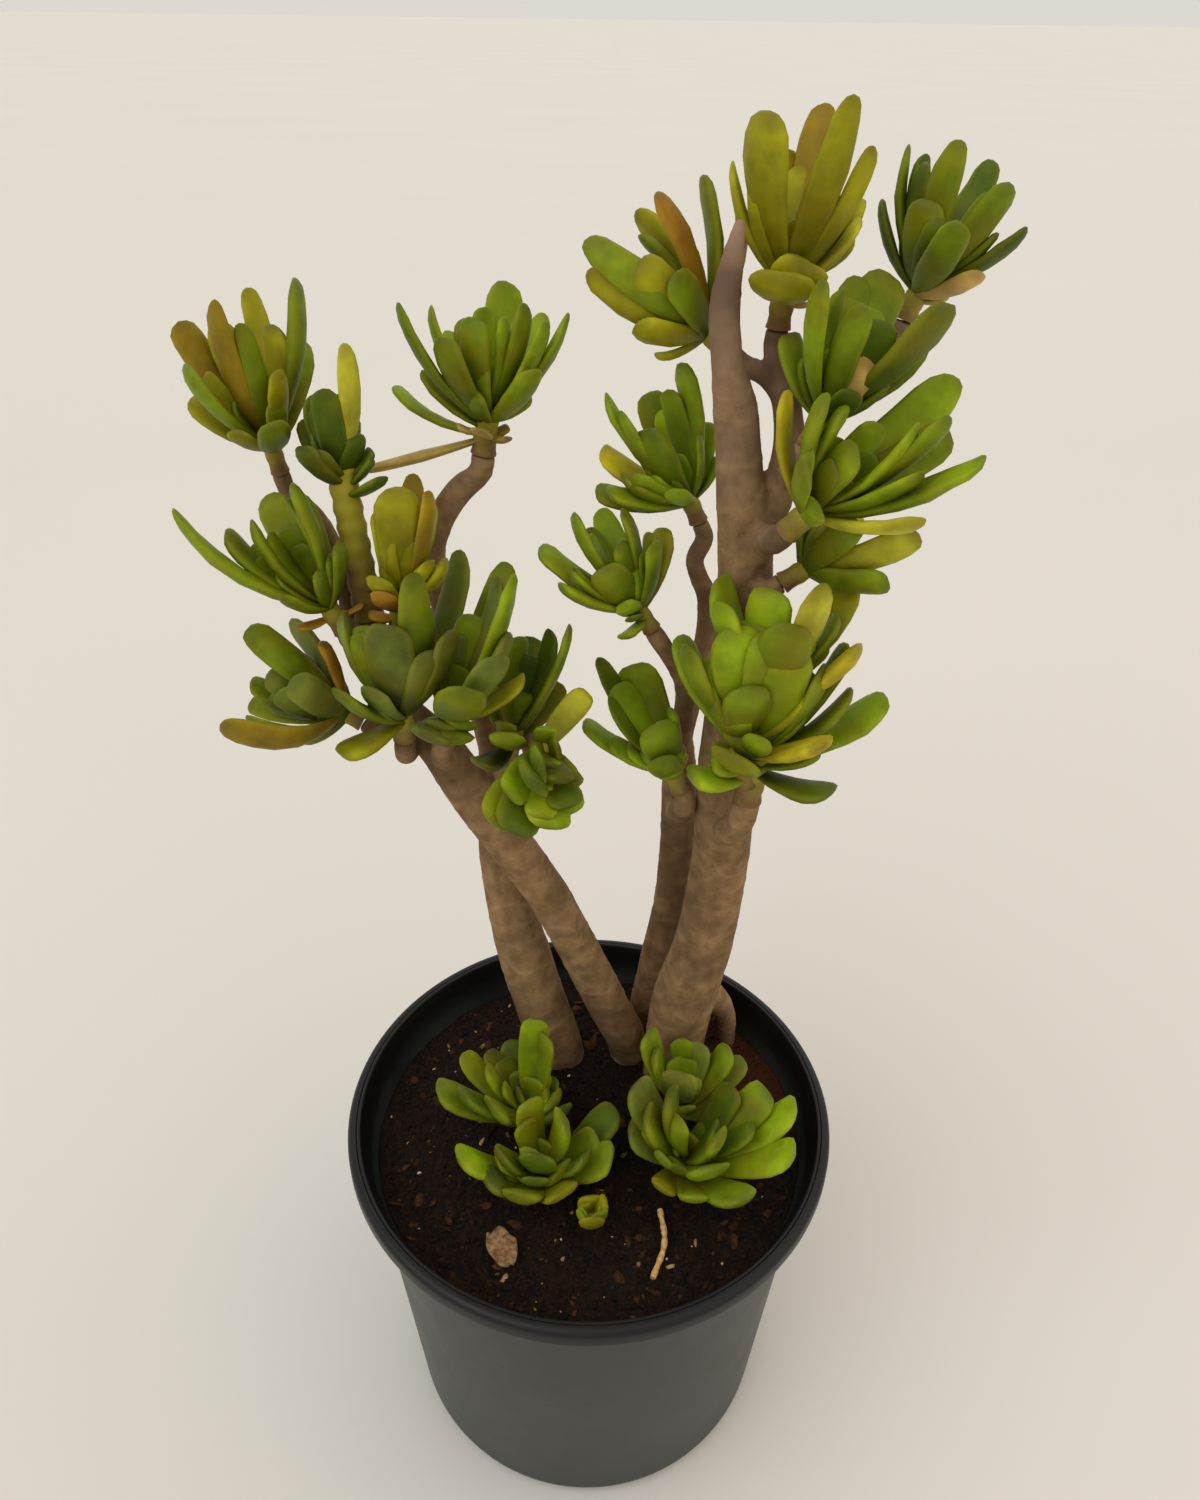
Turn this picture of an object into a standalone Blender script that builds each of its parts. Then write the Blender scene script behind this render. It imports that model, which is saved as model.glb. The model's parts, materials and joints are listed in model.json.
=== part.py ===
"""Jade bonsai: a finger-leaved Crassula in a black nursery pot.

Four woody stems stand in holes in the potting mix. Every twig ends in a green shoot, and a shoot and its
leaves are one solid, a spray. Sizes are in millimetres here, and MM turns them into Blender's metres.
X runs to the right, Y to the back and Z up, from the centre of the pot's underside.
"""

import math
import random
from typing import NamedTuple

import bmesh
import bpy
from mathutils import Vector

MM = 0.001
GAP = 0.3  # between solids that touch on the real plant
WELD = 0.00001

POT_RIM_R = 80.0
POT_HEIGHT = 130.0
POT_LIP = 5.0  # height of the turned-out lip
POT_LIP_R = 76.2  # inner edge of the lip's top
POT_FLARE_Z = 122.0  # where the collar's inner face starts to flare out to it
POT_COLLAR_R = 74.6  # the straight collar under the lip, which stacked pots rest on
POT_COLLAR_Z = 117.0
POT_BODY_TOP_R = 73.0
POT_BASE_R = 64.6
POT_CORNER = 7.0
POT_WALL = 1.6
CHANNEL = (36.0, 52.0, 2.0)  # inner radius, outer radius and height of the raised ring with the drain holes
DRAIN_HOLE_R = 5.0
DRAIN_DEPTH = 12.0
DRAIN_SIDES = 10
DRAIN_HOLES = 6
TURNED_STEPS = 30

SOIL_LEVEL = 115.0
SOIL_MOUND = 3.0
SOIL_BUMP = 0.9
SOIL_RINGS = 5
SOIL_FLOOR = 4.8

TUBE_STEP = 15.0  # along a stem, between its rings
TWIG_END = 5.0  # the straight end of a twig, in line with its shoot
STEM_FOOT_Z = 86.0
STEM_BEVEL = 2  # eight sides
TWIG_BEVEL = 1  # six sides

LEAF_CLEARANCE = 0.7
LEAF_SIDES = 5  # flat above, with a keel below
# Share of the length and share of the width, from the hidden root to the blunt tip
LEAF_RINGS = ((0.0, 0.0), (0.2, 0.52), (0.62, 0.98), (0.92, 0.92), (1.0, 0.0))
LEAF_THICKNESS = 0.52  # of the width
LEAF_BOW = 0.07  # of the length
SHOOT_REACH = 12.0  # leaves root on this much of a shoot, below its crown
KEY_APART = 11.0
FILLER_APART = 24.0
FILLER_WIDTHS = (7.5, 10.0)
GOLDEN_TURN = 137.5

# Each stem or twig is (x, y, z, radius) from its thick end to its thin one.
REAR_LEFT_STEM = {
    "stem": [(-10, 33, STEM_FOOT_Z, 5), (-11, 33, 108, 9.4), (-13, 33, 122, 9.6), (-18, 34, 142, 9.2),
             (-23.5, 36, 164, 9), (-28, 39, 184, 7.8), (-31, 42, 202, 6.6), (-31, 42, 224, 6.3),
             (-30, 38, 248, 5.2)],
    "to_plume": [(-30, 39, 244, 5), (-37, 42, 272, 4.2), (-44, 44, 294, 4), (-46, 45, 309, 3.8),
                 (-43, 46, 318, 3.8), (-37, 48, 326, 3.7)],
    "to_east": [(-30, 38, 242, 4), (-27, 26, 250, 3.4)],
    "to_pendant": [(-31, 41, 218, 4), (-23, 30, 230, 3.6), (-16, 17, 250, 3)],
}
FRONT_LEFT_STEM = {
    "stem": [(16, 34, STEM_FOOT_Z, 4.5), (14.5, 33.5, 108, 6.6), (13, 32.5, 124, 7), (5.5, 30, 146, 7.2),
             (-6, 27, 178, 6.8), (-15, 23, 203, 6.7), (-26.5, 20, 226, 6.9), (-36, 18, 245, 6.9),
             (-44, 18, 260, 6.2), (-53, 18, 272, 5), (-60, 20, 284, 4.2), (-66, 24, 295, 3.6)],
    "to_crown_a": [(-48, 18, 265, 4), (-51, 12, 264, 3.4)],
    "to_crown_b": [(-42, 18, 257, 4), (-41.5, 12, 260, 3.4)],
    "to_west": [(-56, 18.5, 277, 3.4), (-58, 13, 274, 2.5)],
    "to_fan": [(-66, 24, 294, 3.2), (-68, 29, 309, 2.8), (-75, 35, 322, 2.6)],
    "to_finger": [(-61, 20.5, 286, 3.4)],
    "to_long_leaf": [(-62, 21, 288, 3.4), (-63, 18, 291, 3)],
    "to_bronze": [(-59, 20, 282, 3.2), (-53.5, 16, 290, 2.8)],
}
SLIM_RIGHT_STEM = {
    "stem": [(19, 47, STEM_FOOT_Z, 4), (19.5, 47, 108, 6.6), (20.5, 47, 121, 6.8), (24, 47, 150, 6.6),
             (28, 47, 179, 6.6), (28.5, 45, 207, 6.2), (27.5, 41, 230, 5.8), (26, 38, 250, 4.6)],
    "to_low_left": [(26, 38, 248, 3.6), (26, 34, 273, 2.8), (21, 31, 284, 2.5)],
    "to_mid_left": [(26, 38, 248, 3.6), (31, 40, 277, 3), (32, 42, 296, 2.8), (28, 43, 309, 2.6)],
    "to_skirt_left": [(27, 42, 220, 4), (27, 31, 230, 3.4)],
}
MAIN_RIGHT_STEM = {
    "stem": [(28, 22, STEM_FOOT_Z, 6), (28.5, 23, 106, 9.4), (29, 24.5, 122, 9.8), (31.5, 27, 148, 10.8),
             (37.2, 28, 176, 9.7), (39.7, 28, 200, 9.2), (40.5, 27, 220, 9), (40, 26, 240, 9),
             (40, 25, 273, 8), (40.5, 25, 304, 7.6), (39.5, 25, 318, 7.2), (37.5, 25, 332, 6.6),
             (35.5, 25, 345, 5.8), (34, 25, 355, 5.6), (31, 24, 367, 3.9), (29.5, 24, 379, 3.8),
             (30.5, 24, 389, 2.8), (32, 25, 398, 1.2)],
    "root": [(36, 27, 158, 5.5), (43, 33, 146, 5), (48.5, 38, 133, 3.8), (50.5, 39.5, 120, 3),
             (50.5, 39.5, 106, 2.2)],
    "leader": [(40, 25, 314, 5), (46.5, 27, 332, 4.2), (48.5, 29.5, 347, 4), (46, 31, 360, 3.4)],
    "to_wing": [(46, 31, 358, 3.2), (42, 36, 361, 2.8)],
    "to_fountain": [(47, 28, 336, 3.4), (48.5, 23, 341, 3)],
    "to_far_tip": [(46.5, 31, 355, 3), (58, 40, 361, 2.7), (69, 47, 365, 2.5)],
    "to_spread": [(40, 25, 312, 4.2), (44, 15, 326, 3.6)],
    "to_under": [(41, 25, 298, 4), (43, 19, 307, 3)],
    "to_skirt": [(41, 26, 226, 5), (40.5, 13, 235, 4.4)],
}


class Shoot(NamedTuple):
    """A green shoot: what carries it, its crown, its heading and rise, its size and its leaves."""

    carrier: str | None  # a twig, a lower shoot of the same spray, or None in the soil
    crown: tuple[float, float, float]
    bearing: tuple[float, float]
    length: float
    radius: float
    fillers: int
    filler_length: float
    leaves: list[tuple[float, ...]]  # heading, rise, length, width and sometimes bow


# Headings are in degrees from +X towards +Y, and rises in degrees above the horizon.
SHOOTS = {
    "fan": Shoot("to_fan", (-85, 37, 342), (-130, 78), 9, 2.4, 3, 30, [
        (-140, 50, 30, 10), (165, 55, 36, 10), (-110, 70, 40, 7.5), (105, 60, 41, 7.5), (-5, 75, 42, 13),
        (65, 50, 30, 7.5), (-60, 60, 26, 7)]),
    "finger": Shoot("to_finger", (-64.5, 25, 339), (135, 81.5), 40, 4, 2, 20, [
        (140, 40, 24, 10), (-95, 75, 25, 7.5), (-35, 80, 34, 7), (-20, 30, 13, 7), (100, 55, 22, 7.5)]),
    "plume": Shoot("to_plume", (-29, 50, 346), (10, 80), 11, 3.4, 1, 30, [
        (-150, 55, 40, 8.5), (165, 20, 28, 8), (-135, 60, 30, 10), (125, 50, 28, 8), (-95, 70, 30, 9),
        (75, 60, 36, 10), (-15, 70, 32, 7.5), (45, 50, 33, 8), (5, 50, 35, 9), (-40, 45, 24, 9),
        (180, -14, 36, 8, 0.02)]),
    "long_leaf": Shoot("to_long_leaf", (-70, 14, 307), (180, 63), 9, 2.8, 3, 27, [
        (-165, 40, 44, 11, 0.1), (-165, 56, 29, 9), (135, 45, 34, 10), (-175, 80, 33, 10), (110, 58, 29, 10)]),
    "bronze": Shoot("to_bronze", (-50, 14, 310), (0, 80), 12, 2.6, 2, 24, [
        (-65, 80, 31, 11), (80, 55, 34, 7), (-20, 70, 32, 7), (-100, 40, 15, 8), (150, 80, 24, 8)]),
    "crown_a": Shoot("to_crown_a", (-51, 6.5, 278), (0, 88), 8, 3, 1, 32, [
        (-170, 75, 34, 11), (-45, 85, 46, 11), (85, 55, 48, 10), (-130, 72, 31, 11), (-85, 76, 36, 12),
        (-140, -50, 20, 12, 0.02), (-20, 60, 32, 11)]),
    "crown_b": Shoot("to_crown_b", (-39, 8, 278), (0, 79), 9, 3.2, 2, 30, [
        (95, 55, 46, 10), (-5, 75, 46, 10), (65, 35, 33, 12), (0, 30, 25, 9), (-175, 85, 28, 11),
        (-43, 66, 32, 11), (-80, 62, 32, 12), (-110, 78, 34, 11), (-75, 8, 13, 11), (-130, 12, 14, 11)]),
    "west": Shoot("to_west", (-68, 8, 277), (180, 30), 6, 2.2, 2, 24, [
        (-155, 55, 36, 10), (130, 35, 31, 10), (150, 75, 22, 6.5), (-140, 17, 35, 9.5, 0.18), (175, 5, 26, 9),
        (165, 45, 21, 10)]),
    "east": Shoot("to_east", (-22, 14, 268), (0, 76), 9, 3, 3, 26, [
        (-5, 75, 38, 7.5), (80, 30, 33, 10), (-120, 80, 28, 10), (50, 25, 22, 9), (-60, 55, 26, 10)]),
    "pendant": Shoot("to_pendant", (-13, 0, 271), (-70, 20), 7, 2.7, 0, 20, [
        (-130, -12, 25, 11, 0.14), (-108, -28, 25, 12), (-82, -30, 23, 12), (60, 35, 20, 8),
        (-60, -45, 19, 11), (-110, 25, 20, 11), (-155, 10, 20, 10), (-70, 5, 16, 10)]),
    "wing": Shoot("to_wing", (26, 42, 370), (172, 35), 9, 2.6, 2, 28, [
        (-165, 35, 38, 8.5, 0.2), (-155, 40, 28, 10), (145, 50, 34, 9), (-160, 65, 36, 9),
        (110, 75, 36, 10), (70, 80, 31, 9), (-130, 45, 22, 10)]),
    "torch": Shoot("leader", (45, 36, 384), (0, 86), 12, 3, 2, 30, [
        (120, 60, 33, 10), (-130, 70, 39, 12), (85, 65, 42, 10), (-65, 65, 44, 8), (-35, 60, 36, 8),
        (-5, 45, 23, 8), (-100, 20, 24, 14)]),
    "far_tip": Shoot("to_far_tip", (81, 50, 380), (10, 72), 9, 2.8, 1, 28, [
        (150, 75, 33, 8), (95, 70, 31, 8), (-75, 75, 35, 9), (35, 55, 34, 8), (-45, 55, 32, 9),
        (-20, 35, 28, 8), (-55, 25, 20, 8), (165, 60, 24, 8), (-110, 65, 24, 10)]),
    "fountain": Shoot("to_fountain", (55, 18, 357), (-20, 67), 9, 3, 2, 30, [
        (-125, 70, 38, 8.5), (50, 50, 38, 12), (-35, 50, 38, 12), (65, 58, 34, 9), (-60, 50, 20, 7.5),
        (125, 55, 22, 10), (25, 32, 30, 11)]),
    "spread": Shoot("to_spread", (52, 5, 338), (-40, 50), 10, 3.2, 2, 30, [
        (25, 35, 48, 11), (-35, 45, 40, 10), (-35, 28, 44, 11), (-60, 55, 22, 10), (-165, 75, 31, 9),
        (-50, 15, 33, 9), (-95, 70, 32, 11)]),
    "under": Shoot("to_under", (55, 16, 318), (0, 35), 8, 2.8, 2, 24, [
        (-35, 30, 32, 9), (-40, 10, 24, 9), (40, 25, 22, 10), (75, 45, 16, 10)]),
    "mid_left": Shoot("to_mid_left", (25, 44, 326), (180, 65), 8, 2.6, 0, 28, [
        (175, 50, 36, 8.5), (125, 50, 31, 10), (110, 78, 35, 10), (170, 25, 28, 10), (75, 55, 22, 10),
        (-160, 55, 24, 11), (-155, 30, 20, 9), (178, 5, 26, 10), (-165, 12, 24, 10)]),
    "low_left": Shoot("to_low_left", (11, 28, 301), (180, 57), 9, 2.6, 2, 26, [
        (170, 30, 31, 10), (-165, 60, 33, 9), (120, 50, 32, 8), (170, 80, 28, 9), (70, 45, 25, 10),
        (-150, 54, 20, 10), (-112, -8, 13, 6)]),
    "skirt": Shoot("to_skirt", (45, 4, 271), (0, 84), 18, 4, 0, 32, [
        (140, 55, 40, 11), (15, 55, 38, 10), (5, 28, 39, 11), (-170, 60, 32, 12),
        (-40, 8, 24, 11), (-115, 80, 34, 12), (-65, 82, 38, 12), (-30, 64, 34, 11), (-170, 2, 18, 14),
        (-118, 36, 22, 13)]),
    "skirt_top": Shoot("skirt", (45, 5, 289), (0, 86), 29, 3.6, 0, 30, [
        (150, 65, 34, 13), (-25, 70, 38, 12), (25, 50, 38, 11), (-20, 40, 31, 12), (-110, 84, 30, 12),
        (-75, 70, 32, 12), (-160, 66, 32, 12)]),
    "skirt_mid": Shoot("skirt", (39, 3.5, 277), (150, 80), 18, 3.2, 0, 30, [
        (-170, 62, 32, 12), (-125, 78, 36, 13), (-60, 76, 36, 13), (-15, 50, 30, 12), (-95, 62, 26, 12),
        (-40, 30, 28, 12)]),
    "skirt_left": Shoot("to_skirt_left", (23, 22, 251), (180, 67), 8, 3, 1, 24, [
        (150, 50, 40, 7), (120, 60, 33, 12), (165, 25, 30, 10), (-120, 60, 25, 11), (180, 30, 16, 8),
        (-80, 40, 20, 10)]),
    "sucker_left": Shoot(None, (-20, -2, 130), (0, 88), 26, 2.6, 1, 22, [
        (75, 75, 34, 10), (150, 30, 31, 9), (-170, 35, 36, 13), (110, 35, 26, 10), (170, 55, 24, 9),
        (-35, 40, 18, 12), (-130, 50, 24, 12)]),
    "sucker_left_front": Shoot(None, (-15, -23, 127), (-90, 86), 23, 2.6, 0, 20, [
        (-160, 40, 34, 12), (-145, 20, 26, 12), (-110, 12, 24, 12), (-65, 20, 22, 12), (-10, 35, 28, 12),
        (50, 40, 32, 12), (35, 70, 26, 12), (-90, 65, 24, 11), (140, 50, 26, 10)]),
    "sucker_right": Shoot(None, (31, 0, 131), (0, 88), 27, 2.6, 0, 20, [
        (140, 60, 30, 11), (50, 65, 24, 9), (20, 55, 28, 10), (30, 28, 28, 10), (-5, 22, 26, 10),
        (-110, 75, 22, 11), (90, 50, 24, 9)]),
    "sucker_right_front": Shoot(None, (31, -18, 127), (-60, 86), 23, 2.8, 0, 20, [
        (5, 35, 44, 13), (-20, 25, 42, 12), (-55, 15, 34, 13), (-115, 8, 24, 9), (-85, 8, 27, 10),
        (140, 35, 33, 13), (-180, 45, 24, 12), (105, 70, 30, 12), (-45, 60, 28, 11), (50, 50, 30, 11)]),
    "sprout": Shoot(None, (1, -38, 122), (-90, 80), 17, 2, 1, 12, [
        (-85, 25, 16, 8), (-135, 30, 12, 6), (-10, 60, 12, 7)]),
}

STEMS = {
    "stem_rear_left": REAR_LEFT_STEM,
    "stem_front_left": FRONT_LEFT_STEM,
    "stem_slim_right": SLIM_RIGHT_STEM,
    "stem_main_right": MAIN_RIGHT_STEM,
}
STRAW = [(23, -33), (24, -44), (20, -56)]
STRAW_R = 0.9
DRY_LEAF = ((-29, -41), -62, 13, 9)  # root, heading, length and width

# Colour, roughness and metallic value
LOOKS = {
    "black plastic": ((0.035, 0.038, 0.040), 0.45, 0.0),
    "potting mix": ((0.030, 0.018, 0.011), 0.95, 0.0),
    "bark": ((0.20, 0.14, 0.095), 0.85, 0.0),
    "jade leaf": ((0.13, 0.24, 0.035), 0.35, 0.0),
    "dry leaf": ((0.36, 0.17, 0.07), 0.80, 0.0),
    "straw": ((0.60, 0.46, 0.26), 0.75, 0.0),
}


def direction(heading, rise):
    """The unit vector of a heading and a rise in degrees."""
    heading, rise = math.radians(heading), math.radians(rise)
    level = math.cos(rise)
    return Vector((math.cos(heading) * level, math.sin(heading) * level, math.sin(rise)))


def smooth(points, step):
    """A smooth line through (x, y, z, radius) points, with a point about every step.

    The slope at each point weighs its two neighbours by their nearness, so that uneven spacing leaves no loop.
    """
    rows = [Vector(p) for p in points]
    gaps = [(b - a).xyz.length for a, b in zip(rows, rows[1:])]
    slopes = [(rows[1] - rows[0]) / gaps[0]]
    for a, b, c, before, after in zip(rows, rows[1:], rows[2:], gaps, gaps[1:]):
        slopes.append(((c - b) * before / after + (b - a) * after / before) / (before + after))
    slopes.append((rows[-1] - rows[-2]) / gaps[-1])
    line = []
    for start, end, leave, arrive, gap in zip(rows, rows[1:], slopes, slopes[1:], gaps):
        count = max(1, round(gap / step))
        for i in range(count):
            t = i / count
            line.append(start * (1 + 2 * t) * (1 - t) ** 2 + leave * gap * t * (1 - t) ** 2
                        + end * t * t * (3 - 2 * t) + arrive * gap * t * t * (t - 1))
    return [*line, rows[-1]]


def shoot_axis(shoot):
    """The foot, the crown and the direction of a shoot."""
    way = direction(*shoot.bearing)
    crown = Vector(shoot.crown)
    return crown - way * shoot.length, crown, way


def spray_of(name):
    """The shoot that names the spray: the shoot itself, or the lower one that carries it."""
    carrier = SHOOTS[name].carrier
    return carrier if carrier in SHOOTS else name


def stem_lines(stem, step):
    """The smoothed lines of a stem and its twigs, each twig drawn on to the foot of the shoot that it carries."""
    lines = {}
    for name, points in stem.items():
        ends = list(points)
        for shoot in SHOOTS.values():
            if shoot.carrier == name:
                foot, _, way = shoot_axis(shoot)
                ends += [(*(foot - way * back), shoot.radius) for back in (TWIG_END, GAP)]
        lines[name] = smooth(ends, step)
    return lines


def soil_height(x, y):
    """The height of the soil: a low mound with bumps."""
    far = math.hypot(x, y) / POT_BODY_TOP_R
    bumps = math.sin(x / 7 + 1) * math.sin(y / 6) + math.sin((x + y) / 4.3) * 0.5
    return SOIL_LEVEL + SOIL_MOUND * (1 - far * far) + SOIL_BUMP * bumps / 1.5


def straw_line():
    """The fallen stalk, clear of the highest soil under it."""
    lift = max(soil_height(x, y) for x, y in STRAW) + STRAW_R + 2 * GAP
    return smooth([(x, y, lift, STRAW_R) for x, y in STRAW], TUBE_STEP)


def leaf_width(share):
    """A leaf's width at a share of its length, as a share of its full width."""
    (s0, w0), (s1, w1) = next(pair for pair in zip(LEAF_RINGS, LEAF_RINGS[1:]) if share <= pair[1][0])
    return w0 + (w1 - w0) * (share - s0) / (s1 - s0)


class Leaf:
    """A leaf: its root on the shoot's axis, its direction, its face towards the axis, and its sizes."""

    def __init__(self, root, way, axis, length, width, bow=LEAF_BOW):
        self.root, self.way = root, way
        self.length, self.width, self.bow = length, width, bow
        face = axis - way * axis.dot(way)
        if face.length < 0.2:
            face = Vector((0.01, 0, 1)) - way * way.z
        self.face = face.normalized()
        self.side = self.face.cross(way).normalized()

    def rib(self, share):
        """The point of the midrib at a share of the length. It bows out, away from the axis."""
        bulge = self.bow * self.length * 4 * share * (1 - share)
        return self.root + self.way * self.length * share - self.face * bulge

    def balls(self):
        """(point, radius) along the leaf, for testing that it is clear of what stands near it."""
        shares = [LEAF_RINGS[1][0] + 0.103 * i for i in range(8)]
        return [(self.rib(share), leaf_width(share) * self.width / 2) for share in shares]

    def swung(self, over, across):
        """Its direction swung by degrees towards its face and towards its side."""
        way = self.way + self.face * math.tan(math.radians(over)) + self.side * math.tan(math.radians(across))
        return way.normalized()


SWINGS = sorted(((over, across) for over in range(-40, 41, 8) for across in range(-40, 41, 8)),
                key=lambda swing: math.hypot(*swing))


class Crown:
    """What stands already, and the leaves that have been given to each shoot."""

    def __init__(self):
        self.standing = []
        self.leaves = {name: [] for name in SHOOTS}
        for stem in STEMS.values():
            for line in stem_lines(stem, 2.5).values():
                self.standing += [("wood", p.xyz, p.w) for p in line]
        self.standing += [("litter", p.xyz, p.w) for p in straw_line()]
        for name, shoot in SHOOTS.items():
            foot, crown, _ = shoot_axis(shoot)
            count = int(shoot.length / 2) + 1
            self.standing += [(spray_of(name), foot.lerp(crown, i / count), shoot.radius) for i in range(count + 1)]

    def is_clear(self, name, leaf):
        """True if a leaf of this shoot keeps clear of the pot, the soil and whatever else stands already."""
        own = spray_of(name)
        for point, radius in leaf.balls():
            reach = radius + LEAF_CLEARANCE
            if point.z - reach < SOIL_LEVEL + SOIL_MOUND + SOIL_BUMP:
                return False
            if point.z - reach < POT_HEIGHT and point.xy.length + reach > POT_BODY_TOP_R - POT_WALL:
                return False
            for owner, other, other_radius in self.standing:
                if owner != own and (point - other).length < reach + other_radius:
                    return False
        return True

    def give(self, name, way, length, width, bow, apart):
        """Gives the shoot a leaf in about that direction, swung or shortened clear of its neighbours, if it can."""
        shoot = SHOOTS[name]
        _, crown, axis = shoot_axis(shoot)
        drop = min(0.75 * min(shoot.length, SHOOT_REACH), shoot.length - 0.45 * width - 1)
        for size in (1.0, 0.85, 0.7):
            straight = Leaf(crown, way, axis, length * size, width)
            for swing in SWINGS:
                turned = straight.swung(*swing)
                lean = min(1.0, turned.angle(axis) / (math.pi / 2))
                leaf = Leaf(crown - axis * drop * lean, turned, axis, length * size, width, bow)
                near = any(turned.angle(other.way) < math.radians(apart) for other in self.leaves[name])
                if not near and self.is_clear(name, leaf):
                    self.leaves[name].append(leaf)
                    self.standing += [(spray_of(name), point, radius) for point, radius in leaf.balls()]
                    return

    def give_seen(self, name):
        """Gives the shoot the leaves that are listed one by one."""
        for heading, rise, length, width, *bow in SHOOTS[name].leaves:
            bow = bow[0] if bow else LEAF_BOW
            self.give(name, direction(heading, rise), length, width, bow, KEY_APART)

    def give_fillers(self, name):
        """Fills the shoot's rosette in, by the golden angle round its axis."""
        shoot = SHOOTS[name]
        axis = shoot_axis(shoot)[2]
        side = axis.orthogonal().normalized()
        draw = random.Random(name)
        start = draw.uniform(0, 360)
        wanted = len(self.leaves[name]) + shoot.fillers
        for i in range(3 * shoot.fillers):
            if len(self.leaves[name]) == wanted:
                return
            turn, lean = math.radians(start + GOLDEN_TURN * i), math.radians(20 + 42 * (i % 4) / 3)
            out = side * math.cos(turn) + axis.cross(side) * math.sin(turn)
            way = axis * math.cos(lean) + out * math.sin(lean)
            length = shoot.filler_length * draw.uniform(0.75, 1.05)
            self.give(name, way, length, draw.uniform(*FILLER_WIDTHS), LEAF_BOW, FILLER_APART)


def grown_leaves():
    """Every shoot's leaves by its name: first those seen one by one, then those that fill in."""
    crown = Crown()
    for name in SHOOTS:
        crown.give_seen(name)
    for name in SHOOTS:
        crown.give_fillers(name)
    return crown.leaves


def clear_scene():
    """Removes whatever the new file holds, and makes the two collections."""
    for thing in list(bpy.data.objects):
        bpy.data.objects.remove(thing)
    for name in ("jade_bonsai", "cutters"):
        bpy.context.scene.collection.children.link(bpy.data.collections.new(name))


def material(name):
    """The named material, made on first use."""
    found = bpy.data.materials.get(name)
    if found:
        return found
    colour, roughness, metallic = LOOKS[name]
    made = bpy.data.materials.new(name)
    made.use_nodes = True
    shader = made.node_tree.nodes["Principled BSDF"]
    shader.inputs["Base Color"].default_value = (*colour, 1)
    shader.inputs["Roughness"].default_value = roughness
    shader.inputs["Metallic"].default_value = metallic
    return made


def add(name, data, look=None, group="jade_bonsai"):
    """A new object in a collection, with its material."""
    thing = bpy.data.objects.new(name, data)
    bpy.data.collections[group].objects.link(thing)
    if look:
        data.materials.clear()
        data.materials.append(material(look))
    return thing


def add_mesh(name, shape, look=None, group="jade_bonsai"):
    """A new mesh object from a bmesh."""
    data = bpy.data.meshes.new(name)
    shape.to_mesh(data)
    shape.free()
    return add(name, data, look, group)


def as_mesh(thing, look=None, weld=False):
    """The object with its curve or modifiers turned into a plain mesh."""
    evaluated = thing.evaluated_get(bpy.context.evaluated_depsgraph_get())
    data = bpy.data.meshes.new_from_object(evaluated)
    if weld:
        shape = bmesh.new()
        shape.from_mesh(data)
        bmesh.ops.remove_doubles(shape, verts=shape.verts, dist=WELD)
        shape.to_mesh(data)
        shape.free()
    name, groups = thing.name, list(thing.users_collection)
    bpy.data.objects.remove(thing)
    made = bpy.data.objects.new(name, data)
    for group in groups:
        group.objects.link(made)
    if look:
        data.materials.clear()
        data.materials.append(material(look))
    return made


def tube(name, line, bevel, extra=0.0, group="jade_bonsai"):
    """A closed tube along (x, y, z, radius) points, as a mesh, swollen by the extra radius."""
    data = bpy.data.curves.new(name, "CURVE")
    data.dimensions = "3D"
    data.bevel_depth = MM
    data.bevel_resolution = bevel
    data.use_fill_caps = True
    spline = data.splines.new("POLY")
    spline.points.add(len(line) - 1)
    for point, place in zip(spline.points, line):
        point.co = (*(place.xyz * MM), 1)
        point.radius = place.w + extra
    return as_mesh(add(name, data, group=group), weld=True)


def fused(name, pieces, look, solver="EXACT"):
    """One object from overlapping mesh objects, by a Boolean union."""
    base, *others = pieces
    group = bpy.data.collections.new(name)
    bpy.context.scene.collection.children.link(group)
    for other in others:
        bpy.data.collections["jade_bonsai"].objects.unlink(other)
        group.objects.link(other)
    base.name = name
    union = base.modifiers.new("union", "BOOLEAN")
    union.operation = "UNION"
    union.solver = solver
    union.operand_type = "COLLECTION"
    union.collection = group
    made = as_mesh(base, look)
    for other in others:
        bpy.data.objects.remove(other)
    bpy.data.collections.remove(group)
    return made


def cut(thing, cutters):
    """Cuts every cutter out of the object, with one Boolean each, and keeps the cutters out of the render."""
    for cutter in cutters:
        cutter.hide_render = True
        cutter.display_type = "WIRE"
        difference = thing.modifiers.new(cutter.name, "BOOLEAN")
        difference.operation = "DIFFERENCE"
        difference.object = cutter


def turned(name, profile, look):
    """A turned solid from an (r, z) profile that runs down its outer side, top to bottom."""
    shape = bmesh.new()
    points = [shape.verts.new((r * MM, 0, z * MM)) for r, z in profile]
    for a, b in zip(points, points[1:]):
        shape.edges.new((a, b))
    thing = add_mesh(name, shape, look)
    screw = thing.modifiers.new("turn", "SCREW")
    screw.steps = screw.render_steps = TURNED_STEPS
    screw.use_merge_vertices = True
    screw.merge_threshold = WELD
    return thing


def corner(r, z, radius, steps=2):
    """The rounded outer corner at (r, z), from the side down to the underside."""
    turns = [math.radians(90 * i / steps) for i in range(steps + 1)]
    return [(r - radius * (1 - math.cos(t)), z + radius * (1 - math.sin(t))) for t in turns]


def wall_r(z):
    """The outer radius of the tapered body at a height."""
    share = (z - POT_CORNER) / (POT_COLLAR_Z - POT_CORNER)
    return POT_BASE_R + (POT_BODY_TOP_R - POT_BASE_R) * share


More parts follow.
